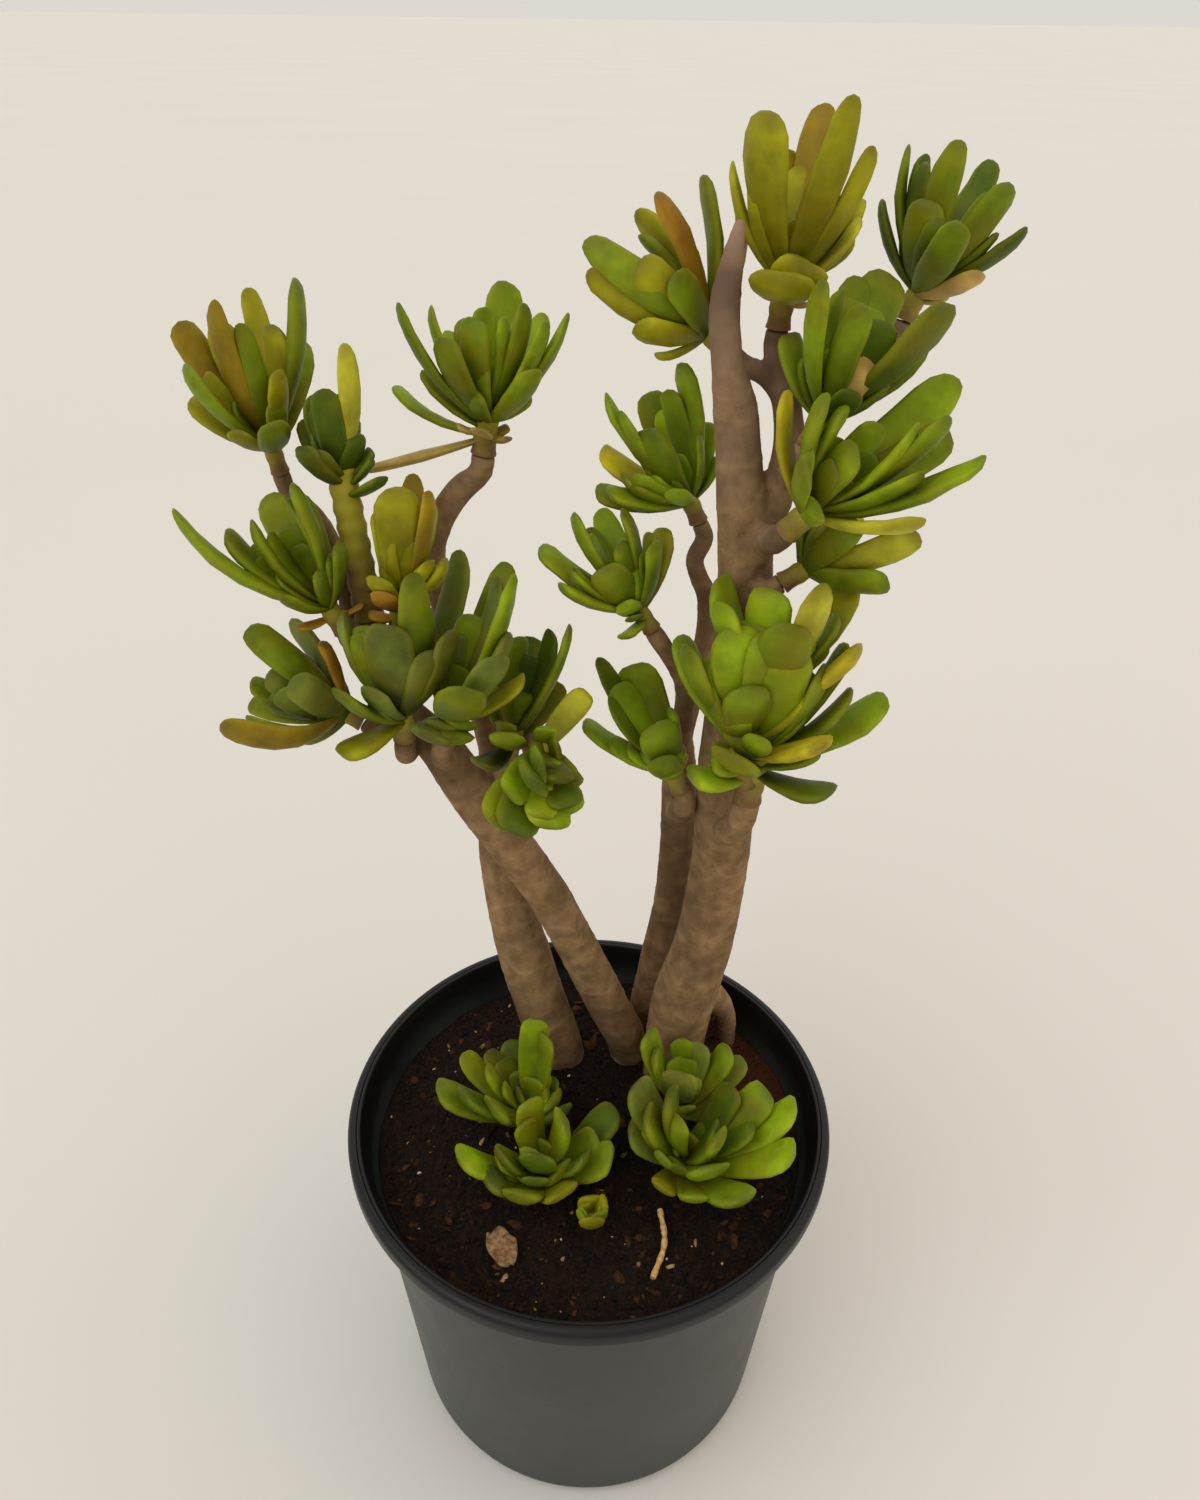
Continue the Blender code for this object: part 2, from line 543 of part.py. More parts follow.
def make_pot():
    """The pot: a thin tapered body with a collar and a turned-out lip, and drain holes in a raised ring."""
    inner, outer, rise = CHANNEL
    skirt = POT_HEIGHT - POT_LIP
    floor = [(0, POT_WALL), (inner - 1, POT_WALL), (inner + 1, POT_WALL + rise),
             (outer - 1, POT_WALL + rise), (outer + 1, POT_WALL)]
    up = reversed(corner(POT_BASE_R - POT_WALL, POT_WALL, POT_CORNER - POT_WALL))
    rim = [(POT_BODY_TOP_R - POT_WALL, POT_COLLAR_Z - 1), (POT_COLLAR_R - POT_WALL, POT_COLLAR_Z + 1),
           (POT_COLLAR_R - POT_WALL, POT_FLARE_Z), (POT_LIP_R - 0.6, POT_HEIGHT - 1), (POT_LIP_R, POT_HEIGHT),
           (POT_RIM_R - 1, POT_HEIGHT), (POT_RIM_R, POT_HEIGHT - 1), (POT_RIM_R, skirt),
           (POT_COLLAR_R, skirt), (POT_COLLAR_R, POT_COLLAR_Z + 1), (POT_BODY_TOP_R, POT_COLLAR_Z - 1)]
    underside = [(outer, 0), (outer - 2, rise), (inner + 2, rise), (inner, 0), (0, 0)]
    pot = turned("pot", [*floor, *up, *rim, *corner(POT_BASE_R, 0, POT_CORNER), *underside], "black plastic")
    for i in range(DRAIN_HOLES):
        way = direction(360 * i / DRAIN_HOLES, 0) * (inner + outer) / 2 * MM
        drill = bmesh.new()
        bmesh.ops.create_cone(drill, cap_ends=True, segments=DRAIN_SIDES, radius1=DRAIN_HOLE_R * MM,
                              radius2=DRAIN_HOLE_R * MM, depth=DRAIN_DEPTH * MM)
        bmesh.ops.translate(drill, vec=way, verts=drill.verts)
        cut(pot, [add_mesh(f"drain_{i + 1}", drill, group="cutters")])


def make_soil(stem_feet):
    """The potting mix, with a plain hole for everything that stands in it."""
    edge = wall_r(SOIL_LEVEL) - POT_WALL - GAP
    top = [(edge * i / SOIL_RINGS, SOIL_LEVEL) for i in range(SOIL_RINGS + 1)]
    low = SOIL_FLOOR + POT_CORNER
    soil = turned("soil", [*top, (wall_r(low) - POT_WALL - GAP, low), (POT_BASE_R - POT_CORNER, SOIL_FLOOR),
                           (0, SOIL_FLOOR)], "potting mix")
    soil = as_mesh(soil)
    for point in soil.data.vertices:
        if point.co.z > (SOIL_LEVEL - 1) * MM:
            point.co.z = soil_height(point.co.x / MM, point.co.y / MM) * MM
    cut(soil, [tube(f"hole_{name}", line, STEM_BEVEL, GAP, "cutters") for name, line in stem_feet.items()])


def make_stems():
    """The four stems, each with its twigs, and the lines of what goes into the soil."""
    feet = {}
    for name, stem in STEMS.items():
        lines = stem_lines(stem, TUBE_STEP)
        bevels = {twig: STEM_BEVEL if twig == "stem" else TWIG_BEVEL for twig in lines}
        fused(name, [tube(twig, line, bevels[twig]) for twig, line in lines.items()], "bark")
        for twig, line in lines.items():
            if min(p.z for p in line) < SOIL_LEVEL:
                feet[f"{name}_{twig}"] = line
    return feet


def shoot_tube(shoot):
    """The line of a shoot: straight, with a domed crown."""
    foot, crown, way = shoot_axis(shoot)
    shares = ((0, 1), (1, 0.9))
    line = [Vector((*foot.lerp(crown, share), shoot.radius * size)) for share, size in shares]
    return [*line, Vector((*(crown + way * shoot.radius * 0.6), shoot.radius * 0.45))]


def make_leaf(leaf):
    """A leaf, drawn out of a sphere: each ring goes to its place on the midrib, and the poles are its ends."""
    shape = bmesh.new()
    last = len(LEAF_RINGS) - 1
    bmesh.ops.create_uvsphere(shape, u_segments=LEAF_SIDES, v_segments=last, radius=1)
    for vert in shape.verts:
        ring = round(last * math.acos(max(-1.0, min(1.0, -vert.co.z))) / math.pi)
        share, width = LEAF_RINGS[ring]
        around = Vector((vert.co.x, vert.co.y, 0)).normalized() * width * leaf.width / 2
        off = leaf.side * around.y - leaf.face * around.x * LEAF_THICKNESS
        vert.co = (leaf.rib(share) + off) * MM
    return add_mesh("leaf", shape)


def make_sprays(leaves):
    """One solid for each shoot with its leaves, and for an upper shoot with the one that it grows from."""
    for name in SHOOTS:
        members = [other for other in SHOOTS if spray_of(other) == name]
        if not members:
            continue
        pieces = [tube(f"shoot_{member}", shoot_tube(SHOOTS[member]), TWIG_BEVEL) for member in members]
        pieces += [make_leaf(leaf) for member in members for leaf in leaves[member]]
        fused(f"spray_{name}", pieces, "jade leaf", "MANIFOLD")  # EXACT leaves slivers where leaves graze here


def make_litter():
    """The fallen stalk and the fallen dry leaf on the soil."""
    stalk = tube("fallen_stalk", straw_line(), TWIG_BEVEL)
    stalk.data.materials.append(material("straw"))
    (x, y), heading, length, width = DRY_LEAF
    way = direction(heading, 0)
    root = Vector((x, y, 0))
    highest = max(soil_height(*(root + way * length * i / 8).xy) for i in range(9))
    root.z = highest + width * LEAF_THICKNESS / 2 + GAP
    dry = make_leaf(Leaf(root, way, Vector((0, 0, 1)), length, width, -LEAF_BOW))
    dry.name = "fallen_leaf"
    dry.data.materials.append(material("dry leaf"))


def main():
    clear_scene()
    make_pot()
    feet = make_stems()
    feet |= {name: shoot_tube(shoot) for name, shoot in SHOOTS.items() if shoot.carrier is None}
    make_soil(feet)
    make_sprays(grown_leaves())
    make_litter()


main()
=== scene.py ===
"""The looks of a potted jade bonsai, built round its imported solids.

It is the finger-leaved kind of Crassula ovata: four woody stems, sprays of fleshy leaves at the end of every
twig and low suckers, in a black nursery pot of potting mix. Lengths are in millimetres, and MM turns them
into Blender's metres. X runs to the right, Y to the back and Z up, from the centre of the pot's underside.
"""

import json
import logging
import math
import random
from dataclasses import dataclass, field
from enum import Enum
from typing import NamedTuple

import bmesh
import bpy
import numpy as np
from mathutils import Euler, Matrix, Vector
from mathutils.kdtree import KDTree

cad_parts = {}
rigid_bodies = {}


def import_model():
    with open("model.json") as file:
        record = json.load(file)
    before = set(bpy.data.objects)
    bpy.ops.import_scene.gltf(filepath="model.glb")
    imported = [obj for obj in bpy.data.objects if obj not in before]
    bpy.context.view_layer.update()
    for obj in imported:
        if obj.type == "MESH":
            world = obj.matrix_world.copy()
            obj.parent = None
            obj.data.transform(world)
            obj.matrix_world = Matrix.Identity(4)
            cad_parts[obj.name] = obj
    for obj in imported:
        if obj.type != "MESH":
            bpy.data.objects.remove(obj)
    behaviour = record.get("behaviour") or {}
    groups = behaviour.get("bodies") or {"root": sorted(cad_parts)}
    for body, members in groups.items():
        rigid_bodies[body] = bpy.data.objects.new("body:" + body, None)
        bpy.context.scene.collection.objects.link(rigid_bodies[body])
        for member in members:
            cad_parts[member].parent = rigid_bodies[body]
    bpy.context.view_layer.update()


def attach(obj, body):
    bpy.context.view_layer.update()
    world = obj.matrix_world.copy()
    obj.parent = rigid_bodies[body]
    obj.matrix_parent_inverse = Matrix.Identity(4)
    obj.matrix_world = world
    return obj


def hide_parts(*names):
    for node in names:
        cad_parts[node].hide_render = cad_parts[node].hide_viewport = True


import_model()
LOG = logging.getLogger("jade_bonsai")

MM = 0.001
BODY = "root"
SEED = 7

POT_RIM_R = 80.0
POT_HEIGHT = 130.0
POT_BODY_TOP_R = 73.0
POT_BASE_R = 64.6
POT_CORNER = 7.0
POT_WALL = 1.6
POT_COLLAR_R = 74.6
POT_COLLAR_Z = 117.0
POT_LIP_R = 76.2
POT_FLARE_Z = 122.0

SOIL_LEVEL = 115.0
SOIL_MOUND = 3.0
SOIL_BUMP = 0.9
STEM_FOOT_Z = 86.0
GAP = 0.3

LEAF_CLEARANCE = 0.7
LEAF_RINGS = ((0.0, 0.0), (0.2, 0.52), (0.62, 0.98), (0.92, 0.92), (1.0, 0.0))
LEAF_BOW = 0.07
LEAF_SIZES = (1.0, 0.85, 0.7)
LEAST_FACE = 0.2
ROOT_SPREAD = 0.75
ROOT_COVER = 0.45
BALL_STEP = 0.103
MOST_SWING = 40
SWING_STEP = 8
SHOOT_REACH = 12.0
KEY_APART = 11.0
FILLER_APART = 24.0
FILLER_WIDTHS = (7.5, 10.0)
FILLER_SHARE = (0.75, 1.05)
FILLER_LEANS = (20, 42)
GOLDEN_TURN = 137.5
TWIG_END = 5.0

# Where bark lies thick on the soil, and how far from there its red is full and gone, in metres
BARK_HEAP = (0.056, 0.022, 0.117)
BARK_HEAP_ENDS = (0.012, 0.034)
BARK_RED = "#43230f"

# Blender's names for the kinds of node that come up most
MATH, VECTOR, MIX, RANGE = "ShaderNodeMath", "ShaderNodeVectorMath", "ShaderNodeMix", "ShaderNodeMapRange"
NOISE, ATTRIBUTE, STORED = "ShaderNodeTexNoise", "ShaderNodeAttribute", "GeometryNodeInputNamedAttribute"
SET_POSITION, SET_MATERIAL = "GeometryNodeSetPosition", "GeometryNodeSetMaterial"
ALL = (0.0, 1.0)

# Each stem or twig is (x, y, z, radius) from its thick end to its thin one, as in the solids' source.
REAR_LEFT_STEM = {
    "stem": [(-10, 33, STEM_FOOT_Z, 5), (-11, 33, 108, 9.4), (-13, 33, 122, 9.6), (-18, 34, 142, 9.2),
             (-23.5, 36, 164, 9), (-28, 39, 184, 7.8), (-31, 42, 202, 6.6), (-31, 42, 224, 6.3),
             (-30, 38, 248, 5.2)],
    "to_plume": [(-30, 39, 244, 5), (-37, 42, 272, 4.2), (-44, 44, 294, 4), (-46, 45, 309, 3.8),
                 (-43, 46, 318, 3.8), (-37, 48, 326, 3.7)],
    "to_east": [(-30, 38, 242, 4), (-27, 26, 250, 3.4)],
    "to_pendant": [(-31, 41, 218, 4), (-23, 30, 230, 3.6), (-16, 17, 250, 3)],
}
FRONT_LEFT_STEM = {
    "stem": [(16, 34, STEM_FOOT_Z, 4.5), (14.5, 33.5, 108, 6.6), (13, 32.5, 124, 7), (5.5, 30, 146, 7.2),
             (-6, 27, 178, 6.8), (-15, 23, 203, 6.7), (-26.5, 20, 226, 6.9), (-36, 18, 245, 6.9),
             (-44, 18, 260, 6.2), (-53, 18, 272, 5), (-60, 20, 284, 4.2), (-66, 24, 295, 3.6)],
    "to_crown_a": [(-48, 18, 265, 4), (-51, 12, 264, 3.4)],
    "to_crown_b": [(-42, 18, 257, 4), (-41.5, 12, 260, 3.4)],
    "to_west": [(-56, 18.5, 277, 3.4), (-58, 13, 274, 2.5)],
    "to_fan": [(-66, 24, 294, 3.2), (-68, 29, 309, 2.8), (-75, 35, 322, 2.6)],
    "to_finger": [(-61, 20.5, 286, 3.4)],
    "to_long_leaf": [(-62, 21, 288, 3.4), (-63, 18, 291, 3)],
    "to_bronze": [(-59, 20, 282, 3.2), (-53.5, 16, 290, 2.8)],
}
SLIM_RIGHT_STEM = {
    "stem": [(19, 47, STEM_FOOT_Z, 4), (19.5, 47, 108, 6.6), (20.5, 47, 121, 6.8), (24, 47, 150, 6.6),
             (28, 47, 179, 6.6), (28.5, 45, 207, 6.2), (27.5, 41, 230, 5.8), (26, 38, 250, 4.6)],
    "to_low_left": [(26, 38, 248, 3.6), (26, 34, 273, 2.8), (21, 31, 284, 2.5)],
    "to_mid_left": [(26, 38, 248, 3.6), (31, 40, 277, 3), (32, 42, 296, 2.8), (28, 43, 309, 2.6)],
    "to_skirt_left": [(27, 42, 220, 4), (27, 31, 230, 3.4)],
}
MAIN_RIGHT_STEM = {
    "stem": [(28, 22, STEM_FOOT_Z, 6), (28.5, 23, 106, 9.4), (29, 24.5, 122, 9.8), (31.5, 27, 148, 10.8),
             (37.2, 28, 176, 9.7), (39.7, 28, 200, 9.2), (40.5, 27, 220, 9), (40, 26, 240, 9),
             (40, 25, 273, 8), (40.5, 25, 304, 7.6), (39.5, 25, 318, 7.2), (37.5, 25, 332, 6.6),
             (35.5, 25, 345, 5.8), (34, 25, 355, 5.6), (31, 24, 367, 3.9), (29.5, 24, 379, 3.8),
             (30.5, 24, 389, 2.8), (32, 25, 398, 1.2)],
    "root": [(36, 27, 158, 5.5), (43, 33, 146, 5), (48.5, 38, 133, 3.8), (50.5, 39.5, 120, 3),
             (50.5, 39.5, 106, 2.2)],
    "leader": [(40, 25, 314, 5), (46.5, 27, 332, 4.2), (48.5, 29.5, 347, 4), (46, 31, 360, 3.4)],
    "to_wing": [(46, 31, 358, 3.2), (42, 36, 361, 2.8)],
    "to_fountain": [(47, 28, 336, 3.4), (48.5, 23, 341, 3)],
    "to_far_tip": [(46.5, 31, 355, 3), (58, 40, 361, 2.7), (69, 47, 365, 2.5)],
    "to_spread": [(40, 25, 312, 4.2), (44, 15, 326, 3.6)],
    "to_under": [(41, 25, 298, 4), (43, 19, 307, 3)],
    "to_skirt": [(41, 26, 226, 5), (40.5, 13, 235, 4.4)],
}
STEMS = {
    "stem_rear_left": REAR_LEFT_STEM,
    "stem_front_left": FRONT_LEFT_STEM,
    "stem_slim_right": SLIM_RIGHT_STEM,
    "stem_main_right": MAIN_RIGHT_STEM,
}
STRAW = [(23, -33), (24, -44), (20, -56)]
STRAW_R = 0.9
DRY_LEAF = ((-29, -41), -62, 13, 9)


class Tint(Enum):
    """The leaf colours of this plant, in sRGB."""

    FRESH = "#7a900f"
    MID = "#67780c"
    DARK = "#485a0a"
    DULL = "#5f6a24"
    LIME = "#a9a52a"
    OLIVE = "#8a860f"
    YELLOW = "#b0a01e"
    ORANGE = "#a8761f"
    BRONZE = "#877014"
    TAN = "#b39450"


FRESH, MID, DARK, DULL, LIME, OLIVE, YELLOW, ORANGE, BRONZE, TAN = Tint


class LeafShape(Enum):
    """Which unit leaf a leaf is drawn with. The number is its place among the unit leaves."""

    FINGER = 0
    SPOON = 1
    STRAP = 2


class Shoot(NamedTuple):
    """A green shoot: what carries it, its crown, its bearing, its size, its leaves and their colours."""

    carrier: str | None
    crown: tuple[float, float, float]
    bearing: tuple[float, float]
    length: float
    radius: float
    fillers: int
    filler_length: float
    leaves: list[tuple[float, ...]]
    tints: tuple[Tint, ...]
    special: dict[int, Tint] = {}


# Headings are in degrees from +X towards +Y, and rises in degrees above the horizon.
SHOOTS = {
    "fan": Shoot("to_fan", (-85, 37, 342), (-130, 78), 9, 2.4, 3, 30, [
        (-140, 50, 30, 10), (165, 55, 36, 10), (-110, 70, 40, 7.5), (105, 60, 41, 7.5), (-5, 75, 42, 13),
        (65, 50, 30, 7.5), (-60, 60, 26, 7)],
        (OLIVE, MID), {0: FRESH, 1: BRONZE, 2: BRONZE, 3: OLIVE, 4: MID}),
    "finger": Shoot("to_finger", (-64.5, 25, 339), (135, 81.5), 40, 4, 2, 20, [
        (140, 40, 24, 10), (-95, 75, 25, 7.5), (-35, 80, 34, 7), (-20, 30, 13, 7), (100, 55, 22, 7.5)],
        (DARK, DARK), {2: LIME, 3: DARK}),
    "plume": Shoot("to_plume", (-29, 50, 346), (10, 80), 11, 3.4, 1, 30, [
        (-150, 55, 40, 8.5), (165, 20, 28, 8), (-135, 60, 30, 10), (125, 50, 28, 8), (-95, 70, 30, 9),
        (75, 60, 36, 10), (-15, 70, 32, 7.5), (45, 50, 33, 8), (5, 50, 35, 9), (-40, 45, 24, 9),
        (180, -14, 36, 8, 0.02)],
        (MID, FRESH), {10: TAN}),
    "long_leaf": Shoot("to_long_leaf", (-70, 14, 307), (180, 63), 9, 2.8, 3, 27, [
        (-165, 40, 44, 11, 0.1), (-165, 56, 29, 9), (135, 45, 34, 10), (-175, 80, 33, 10), (110, 58, 29, 10)],
        (MID, MID), {0: FRESH}),
    "bronze": Shoot("to_bronze", (-50, 14, 310), (0, 80), 12, 2.6, 2, 24, [
        (-65, 80, 31, 11), (80, 55, 34, 7), (-20, 70, 32, 7), (-100, 40, 15, 8), (150, 80, 24, 8)],
        (OLIVE, OLIVE), {0: OLIVE, 1: BRONZE, 2: BRONZE, 3: ORANGE}),
    "crown_a": Shoot("to_crown_a", (-51, 6.5, 278), (0, 88), 8, 3, 1, 32, [
        (-170, 75, 34, 11), (-45, 85, 46, 11), (85, 55, 48, 10), (-130, 72, 31, 11), (-85, 76, 36, 12),
        (-140, -50, 20, 12, 0.02), (-20, 60, 32, 11)],
        (DULL, MID), {5: OLIVE}),
    "crown_b": Shoot("to_crown_b", (-39, 8, 278), (0, 79), 9, 3.2, 2, 30, [
        (95, 55, 46, 10), (-5, 75, 46, 10), (65, 35, 33, 12), (0, 30, 25, 9), (-175, 85, 28, 11),
        (-43, 66, 32, 11), (-80, 62, 32, 12), (-110, 78, 34, 11), (-75, 8, 13, 11), (-130, 12, 14, 11)],
        (MID, DULL), {1: FRESH, 3: OLIVE}),
    "west": Shoot("to_west", (-68, 8, 277), (180, 30), 6, 2.2, 2, 24, [
        (-155, 55, 36, 10), (130, 35, 31, 10), (150, 75, 22, 6.5), (-140, 17, 35, 9.5, 0.18), (175, 5, 26, 9),
        (165, 45, 21, 10)],
        (MID, DULL), {3: BRONZE, 2: ORANGE}),
    "east": Shoot("to_east", (-22, 14, 268), (0, 76), 9, 3, 3, 26, [
        (-5, 75, 38, 7.5), (80, 30, 33, 10), (-120, 80, 28, 10), (50, 25, 22, 9), (-60, 55, 26, 10)],
        (MID, DARK)),
    "pendant": Shoot("to_pendant", (-13, 0, 271), (-70, 20), 7, 2.7, 0, 20, [
        (-130, -12, 25, 11, 0.14), (-108, -28, 25, 12), (-82, -30, 23, 12), (60, 35, 20, 8),
        (-60, -45, 19, 11), (-110, 25, 20, 11), (-155, 10, 20, 10), (-70, 5, 16, 10)],
        (FRESH, DARK), {3: LIME}),
    "wing": Shoot("to_wing", (26, 42, 370), (172, 35), 9, 2.6, 2, 28, [
        (-165, 35, 38, 8.5, 0.2), (-155, 40, 28, 10), (145, 50, 34, 9), (-160, 65, 36, 9),
        (110, 75, 36, 10), (70, 80, 31, 9), (-130, 45, 22, 10)],
        (MID, OLIVE), {2: OLIVE, 3: ORANGE, 5: BRONZE}),
    "torch": Shoot("leader", (45, 36, 384), (0, 86), 12, 3, 2, 30, [
        (120, 60, 33, 10), (-130, 70, 39, 12), (85, 65, 42, 10), (-65, 65, 44, 8), (-35, 60, 36, 8),
        (-5, 45, 23, 8), (-100, 20, 24, 14)],
        (OLIVE, OLIVE), {0: BRONZE, 1: OLIVE, 2: BRONZE, 3: OLIVE, 5: LIME}),
    "far_tip": Shoot("to_far_tip", (81, 50, 380), (10, 72), 9, 2.8, 1, 28, [
        (150, 75, 33, 8), (95, 70, 31, 8), (-75, 75, 35, 9), (35, 55, 34, 8), (-45, 55, 32, 9),
        (-20, 35, 28, 8), (-55, 25, 20, 8), (165, 60, 24, 8), (-110, 65, 24, 10)],
        (MID, DARK), {6: TAN}),
    "fountain": Shoot("to_fountain", (55, 18, 357), (-20, 67), 9, 3, 2, 30, [
        (-125, 70, 38, 8.5), (50, 50, 38, 12), (-35, 50, 38, 12), (65, 58, 34, 9), (-60, 50, 20, 7.5),
        (125, 55, 22, 10), (25, 32, 30, 11)],
        (DARK, MID), {4: TAN, 0: FRESH}),
    "spread": Shoot("to_spread", (52, 5, 338), (-40, 50), 10, 3.2, 2, 30, [
        (25, 35, 48, 11), (-35, 45, 40, 10), (-35, 28, 44, 11), (-60, 55, 22, 10), (-165, 75, 31, 9),
        (-50, 15, 33, 9), (-95, 70, 32, 11)],
        (FRESH, MID), {4: YELLOW, 5: LIME}),
    "under": Shoot("to_under", (55, 16, 318), (0, 35), 8, 2.8, 2, 24, [
        (-35, 30, 32, 9), (-40, 10, 24, 9), (40, 25, 22, 10), (75, 45, 16, 10)],
        (LIME, MID)),
    "mid_left": Shoot("to_mid_left", (25, 44, 326), (180, 65), 8, 2.6, 0, 28, [
        (175, 50, 36, 8.5), (125, 50, 31, 10), (110, 78, 35, 10), (170, 25, 28, 10), (75, 55, 22, 10),
        (-160, 55, 24, 11), (-155, 30, 20, 9), (178, 5, 26, 10), (-165, 12, 24, 10)],
        (FRESH, MID), {3: YELLOW}),
    "low_left": Shoot("to_low_left", (11, 28, 301), (180, 57), 9, 2.6, 2, 26, [
        (170, 30, 31, 10), (-165, 60, 33, 9), (120, 50, 32, 8), (170, 80, 28, 9), (70, 45, 25, 10),
        (-150, 54, 20, 10), (-112, -8, 13, 6)],
        (FRESH, MID), {4: OLIVE}),
    "skirt": Shoot("to_skirt", (45, 4, 271), (0, 84), 18, 4, 0, 32, [
        (140, 55, 40, 11), (15, 55, 38, 10), (5, 28, 39, 11), (-170, 60, 32, 12),
        (-40, 8, 24, 11), (-115, 80, 34, 12), (-65, 82, 38, 12), (-30, 64, 34, 11), (-170, 2, 18, 14),
        (-118, 36, 22, 13)],
        (FRESH, MID), {4: DARK}),
    "skirt_top": Shoot("skirt", (45, 5, 289), (0, 86), 29, 3.6, 0, 30, [
        (150, 65, 34, 13), (-25, 70, 38, 12), (25, 50, 38, 11), (-20, 40, 31, 12), (-110, 84, 30, 12),
        (-75, 70, 32, 12), (-160, 66, 32, 12)],
        (FRESH, MID), {3: YELLOW, 2: OLIVE, 1: LIME}),
    "skirt_mid": Shoot("skirt", (39, 3.5, 277), (150, 80), 18, 3.2, 0, 30, [
        (-170, 62, 32, 12), (-125, 78, 36, 13), (-60, 76, 36, 13), (-15, 50, 30, 12), (-95, 62, 26, 12),
        (-40, 30, 28, 12)],
        (MID, FRESH), {3: OLIVE, 5: YELLOW}),
    "skirt_left": Shoot("to_skirt_left", (23, 22, 251), (180, 67), 8, 3, 1, 24, [
        (150, 50, 40, 7), (120, 60, 33, 12), (165, 25, 30, 10), (-120, 60, 25, 11), (180, 30, 16, 8),
        (-80, 40, 20, 10)],
        (FRESH, MID), {0: DARK}),
    "sucker_left": Shoot(None, (-20, -2, 130), (0, 88), 26, 2.6, 1, 22, [
        (75, 75, 34, 10), (150, 30, 31, 9), (-170, 35, 36, 13), (110, 35, 26, 10), (170, 55, 24, 9),
        (-35, 40, 18, 12), (-130, 50, 24, 12)],
        (MID, DARK), {0: FRESH, 1: FRESH}),
    "sucker_left_front": Shoot(None, (-15, -23, 127), (-90, 86), 23, 2.6, 0, 20, [
        (-160, 40, 34, 12), (-145, 20, 26, 12), (-110, 12, 24, 12), (-65, 20, 22, 12), (-10, 35, 28, 12),
        (50, 40, 32, 12), (35, 70, 26, 12), (-90, 65, 24, 11), (140, 50, 26, 10)],
        (MID, DARK), {0: FRESH, 1: DULL, 3: OLIVE}),
    "sucker_right": Shoot(None, (31, 0, 131), (0, 88), 27, 2.6, 0, 20, [
        (140, 60, 30, 11), (50, 65, 24, 9), (20, 55, 28, 10), (30, 28, 28, 10), (-5, 22, 26, 10),
        (-110, 75, 22, 11), (90, 50, 24, 9)],
        (MID, DULL), {4: FRESH}),
    "sucker_right_front": Shoot(None, (31, -18, 127), (-60, 86), 23, 2.8, 0, 20, [
        (5, 35, 44, 13), (-20, 25, 42, 12), (-55, 15, 34, 13), (-115, 8, 24, 9), (-85, 8, 27, 10),
        (140, 35, 33, 13), (-180, 45, 24, 12), (105, 70, 30, 12), (-45, 60, 28, 11), (50, 50, 30, 11)],
        (MID, DARK), {0: FRESH, 1: FRESH, 3: OLIVE, 5: DULL, 6: DULL}),
    "sprout": Shoot(None, (1, -38, 122), (-90, 80), 17, 2, 1, 12, [
        (-85, 25, 16, 8), (-135, 30, 12, 6), (-10, 60, 12, 7)],
        (OLIVE, FRESH)),
}


def linear(colour: str) -> tuple[float, float, float, float]:
    """Turns an sRGB hex colour into Blender's linear colour.

    Args:
        colour: The colour as "#rrggbb".

    Returns:
        Red, green, blue and an alpha of 1, linear.
    """
    shares = [int(colour[i:i + 2], 16) / 255 for i in (1, 3, 5)]
    return (*(s / 12.92 if s <= 0.04045 else ((s + 0.055) / 1.055) ** 2.4 for s in shares), 1.0)


def direction(heading: float, rise: float) -> Vector:
    """The unit vector of a heading and a rise in degrees."""
    heading, rise = math.radians(heading), math.radians(rise)
    level = math.cos(rise)
    return Vector((math.cos(heading) * level, math.sin(heading) * level, math.sin(rise)))


def around(axis: Vector, turn: float, lean: float) -> Vector:
    """The direction turned round an axis and leaning off it, both in radians."""
    side = axis.orthogonal().normalized()
    out = side * math.cos(turn) + axis.cross(side) * math.sin(turn)
    return axis * math.cos(lean) + out * math.sin(lean)


def smooth(points: list[tuple[float, ...]], step: float) -> list[Vector]:
    """A smooth line through (x, y, z, radius) points, as the solids' source draws it.

    Args:
        points: The points that the line passes.
        step: About how far apart the line's own points are.

    Returns:
        The line's points, each with its radius.
    """
    rows = [Vector(p) for p in points]
    gaps = [(b - a).xyz.length for a, b in zip(rows, rows[1:])]
    slopes = [(rows[1] - rows[0]) / gaps[0]]
    for a, b, c, before, after in zip(rows, rows[1:], rows[2:], gaps, gaps[1:]):
        slopes.append(((c - b) * before / after + (b - a) * after / before) / (before + after))
    slopes.append((rows[-1] - rows[-2]) / gaps[-1])
    line = []
    for start, end, leave, arrive, gap in zip(rows, rows[1:], slopes, slopes[1:], gaps):
        count = max(1, round(gap / step))
        for i in range(count):
            t = i / count
            line.append(start * (1 + 2 * t) * (1 - t) ** 2 + leave * gap * t * (1 - t) ** 2
                        + end * t * t * (3 - 2 * t) + arrive * gap * t * t * (t - 1))
    return [*line, rows[-1]]


def shoot_axis(shoot: Shoot) -> tuple[Vector, Vector, Vector]:
    """The foot, the crown and the direction of a shoot."""
    way = direction(*shoot.bearing)
    crown = Vector(shoot.crown)
    return crown - way * shoot.length, crown, way


def spray_of(name: str) -> str:
    """The shoot that names the spray: the shoot itself, or the lower one that carries it."""
    carrier = SHOOTS[name].carrier
    return carrier if carrier in SHOOTS else name


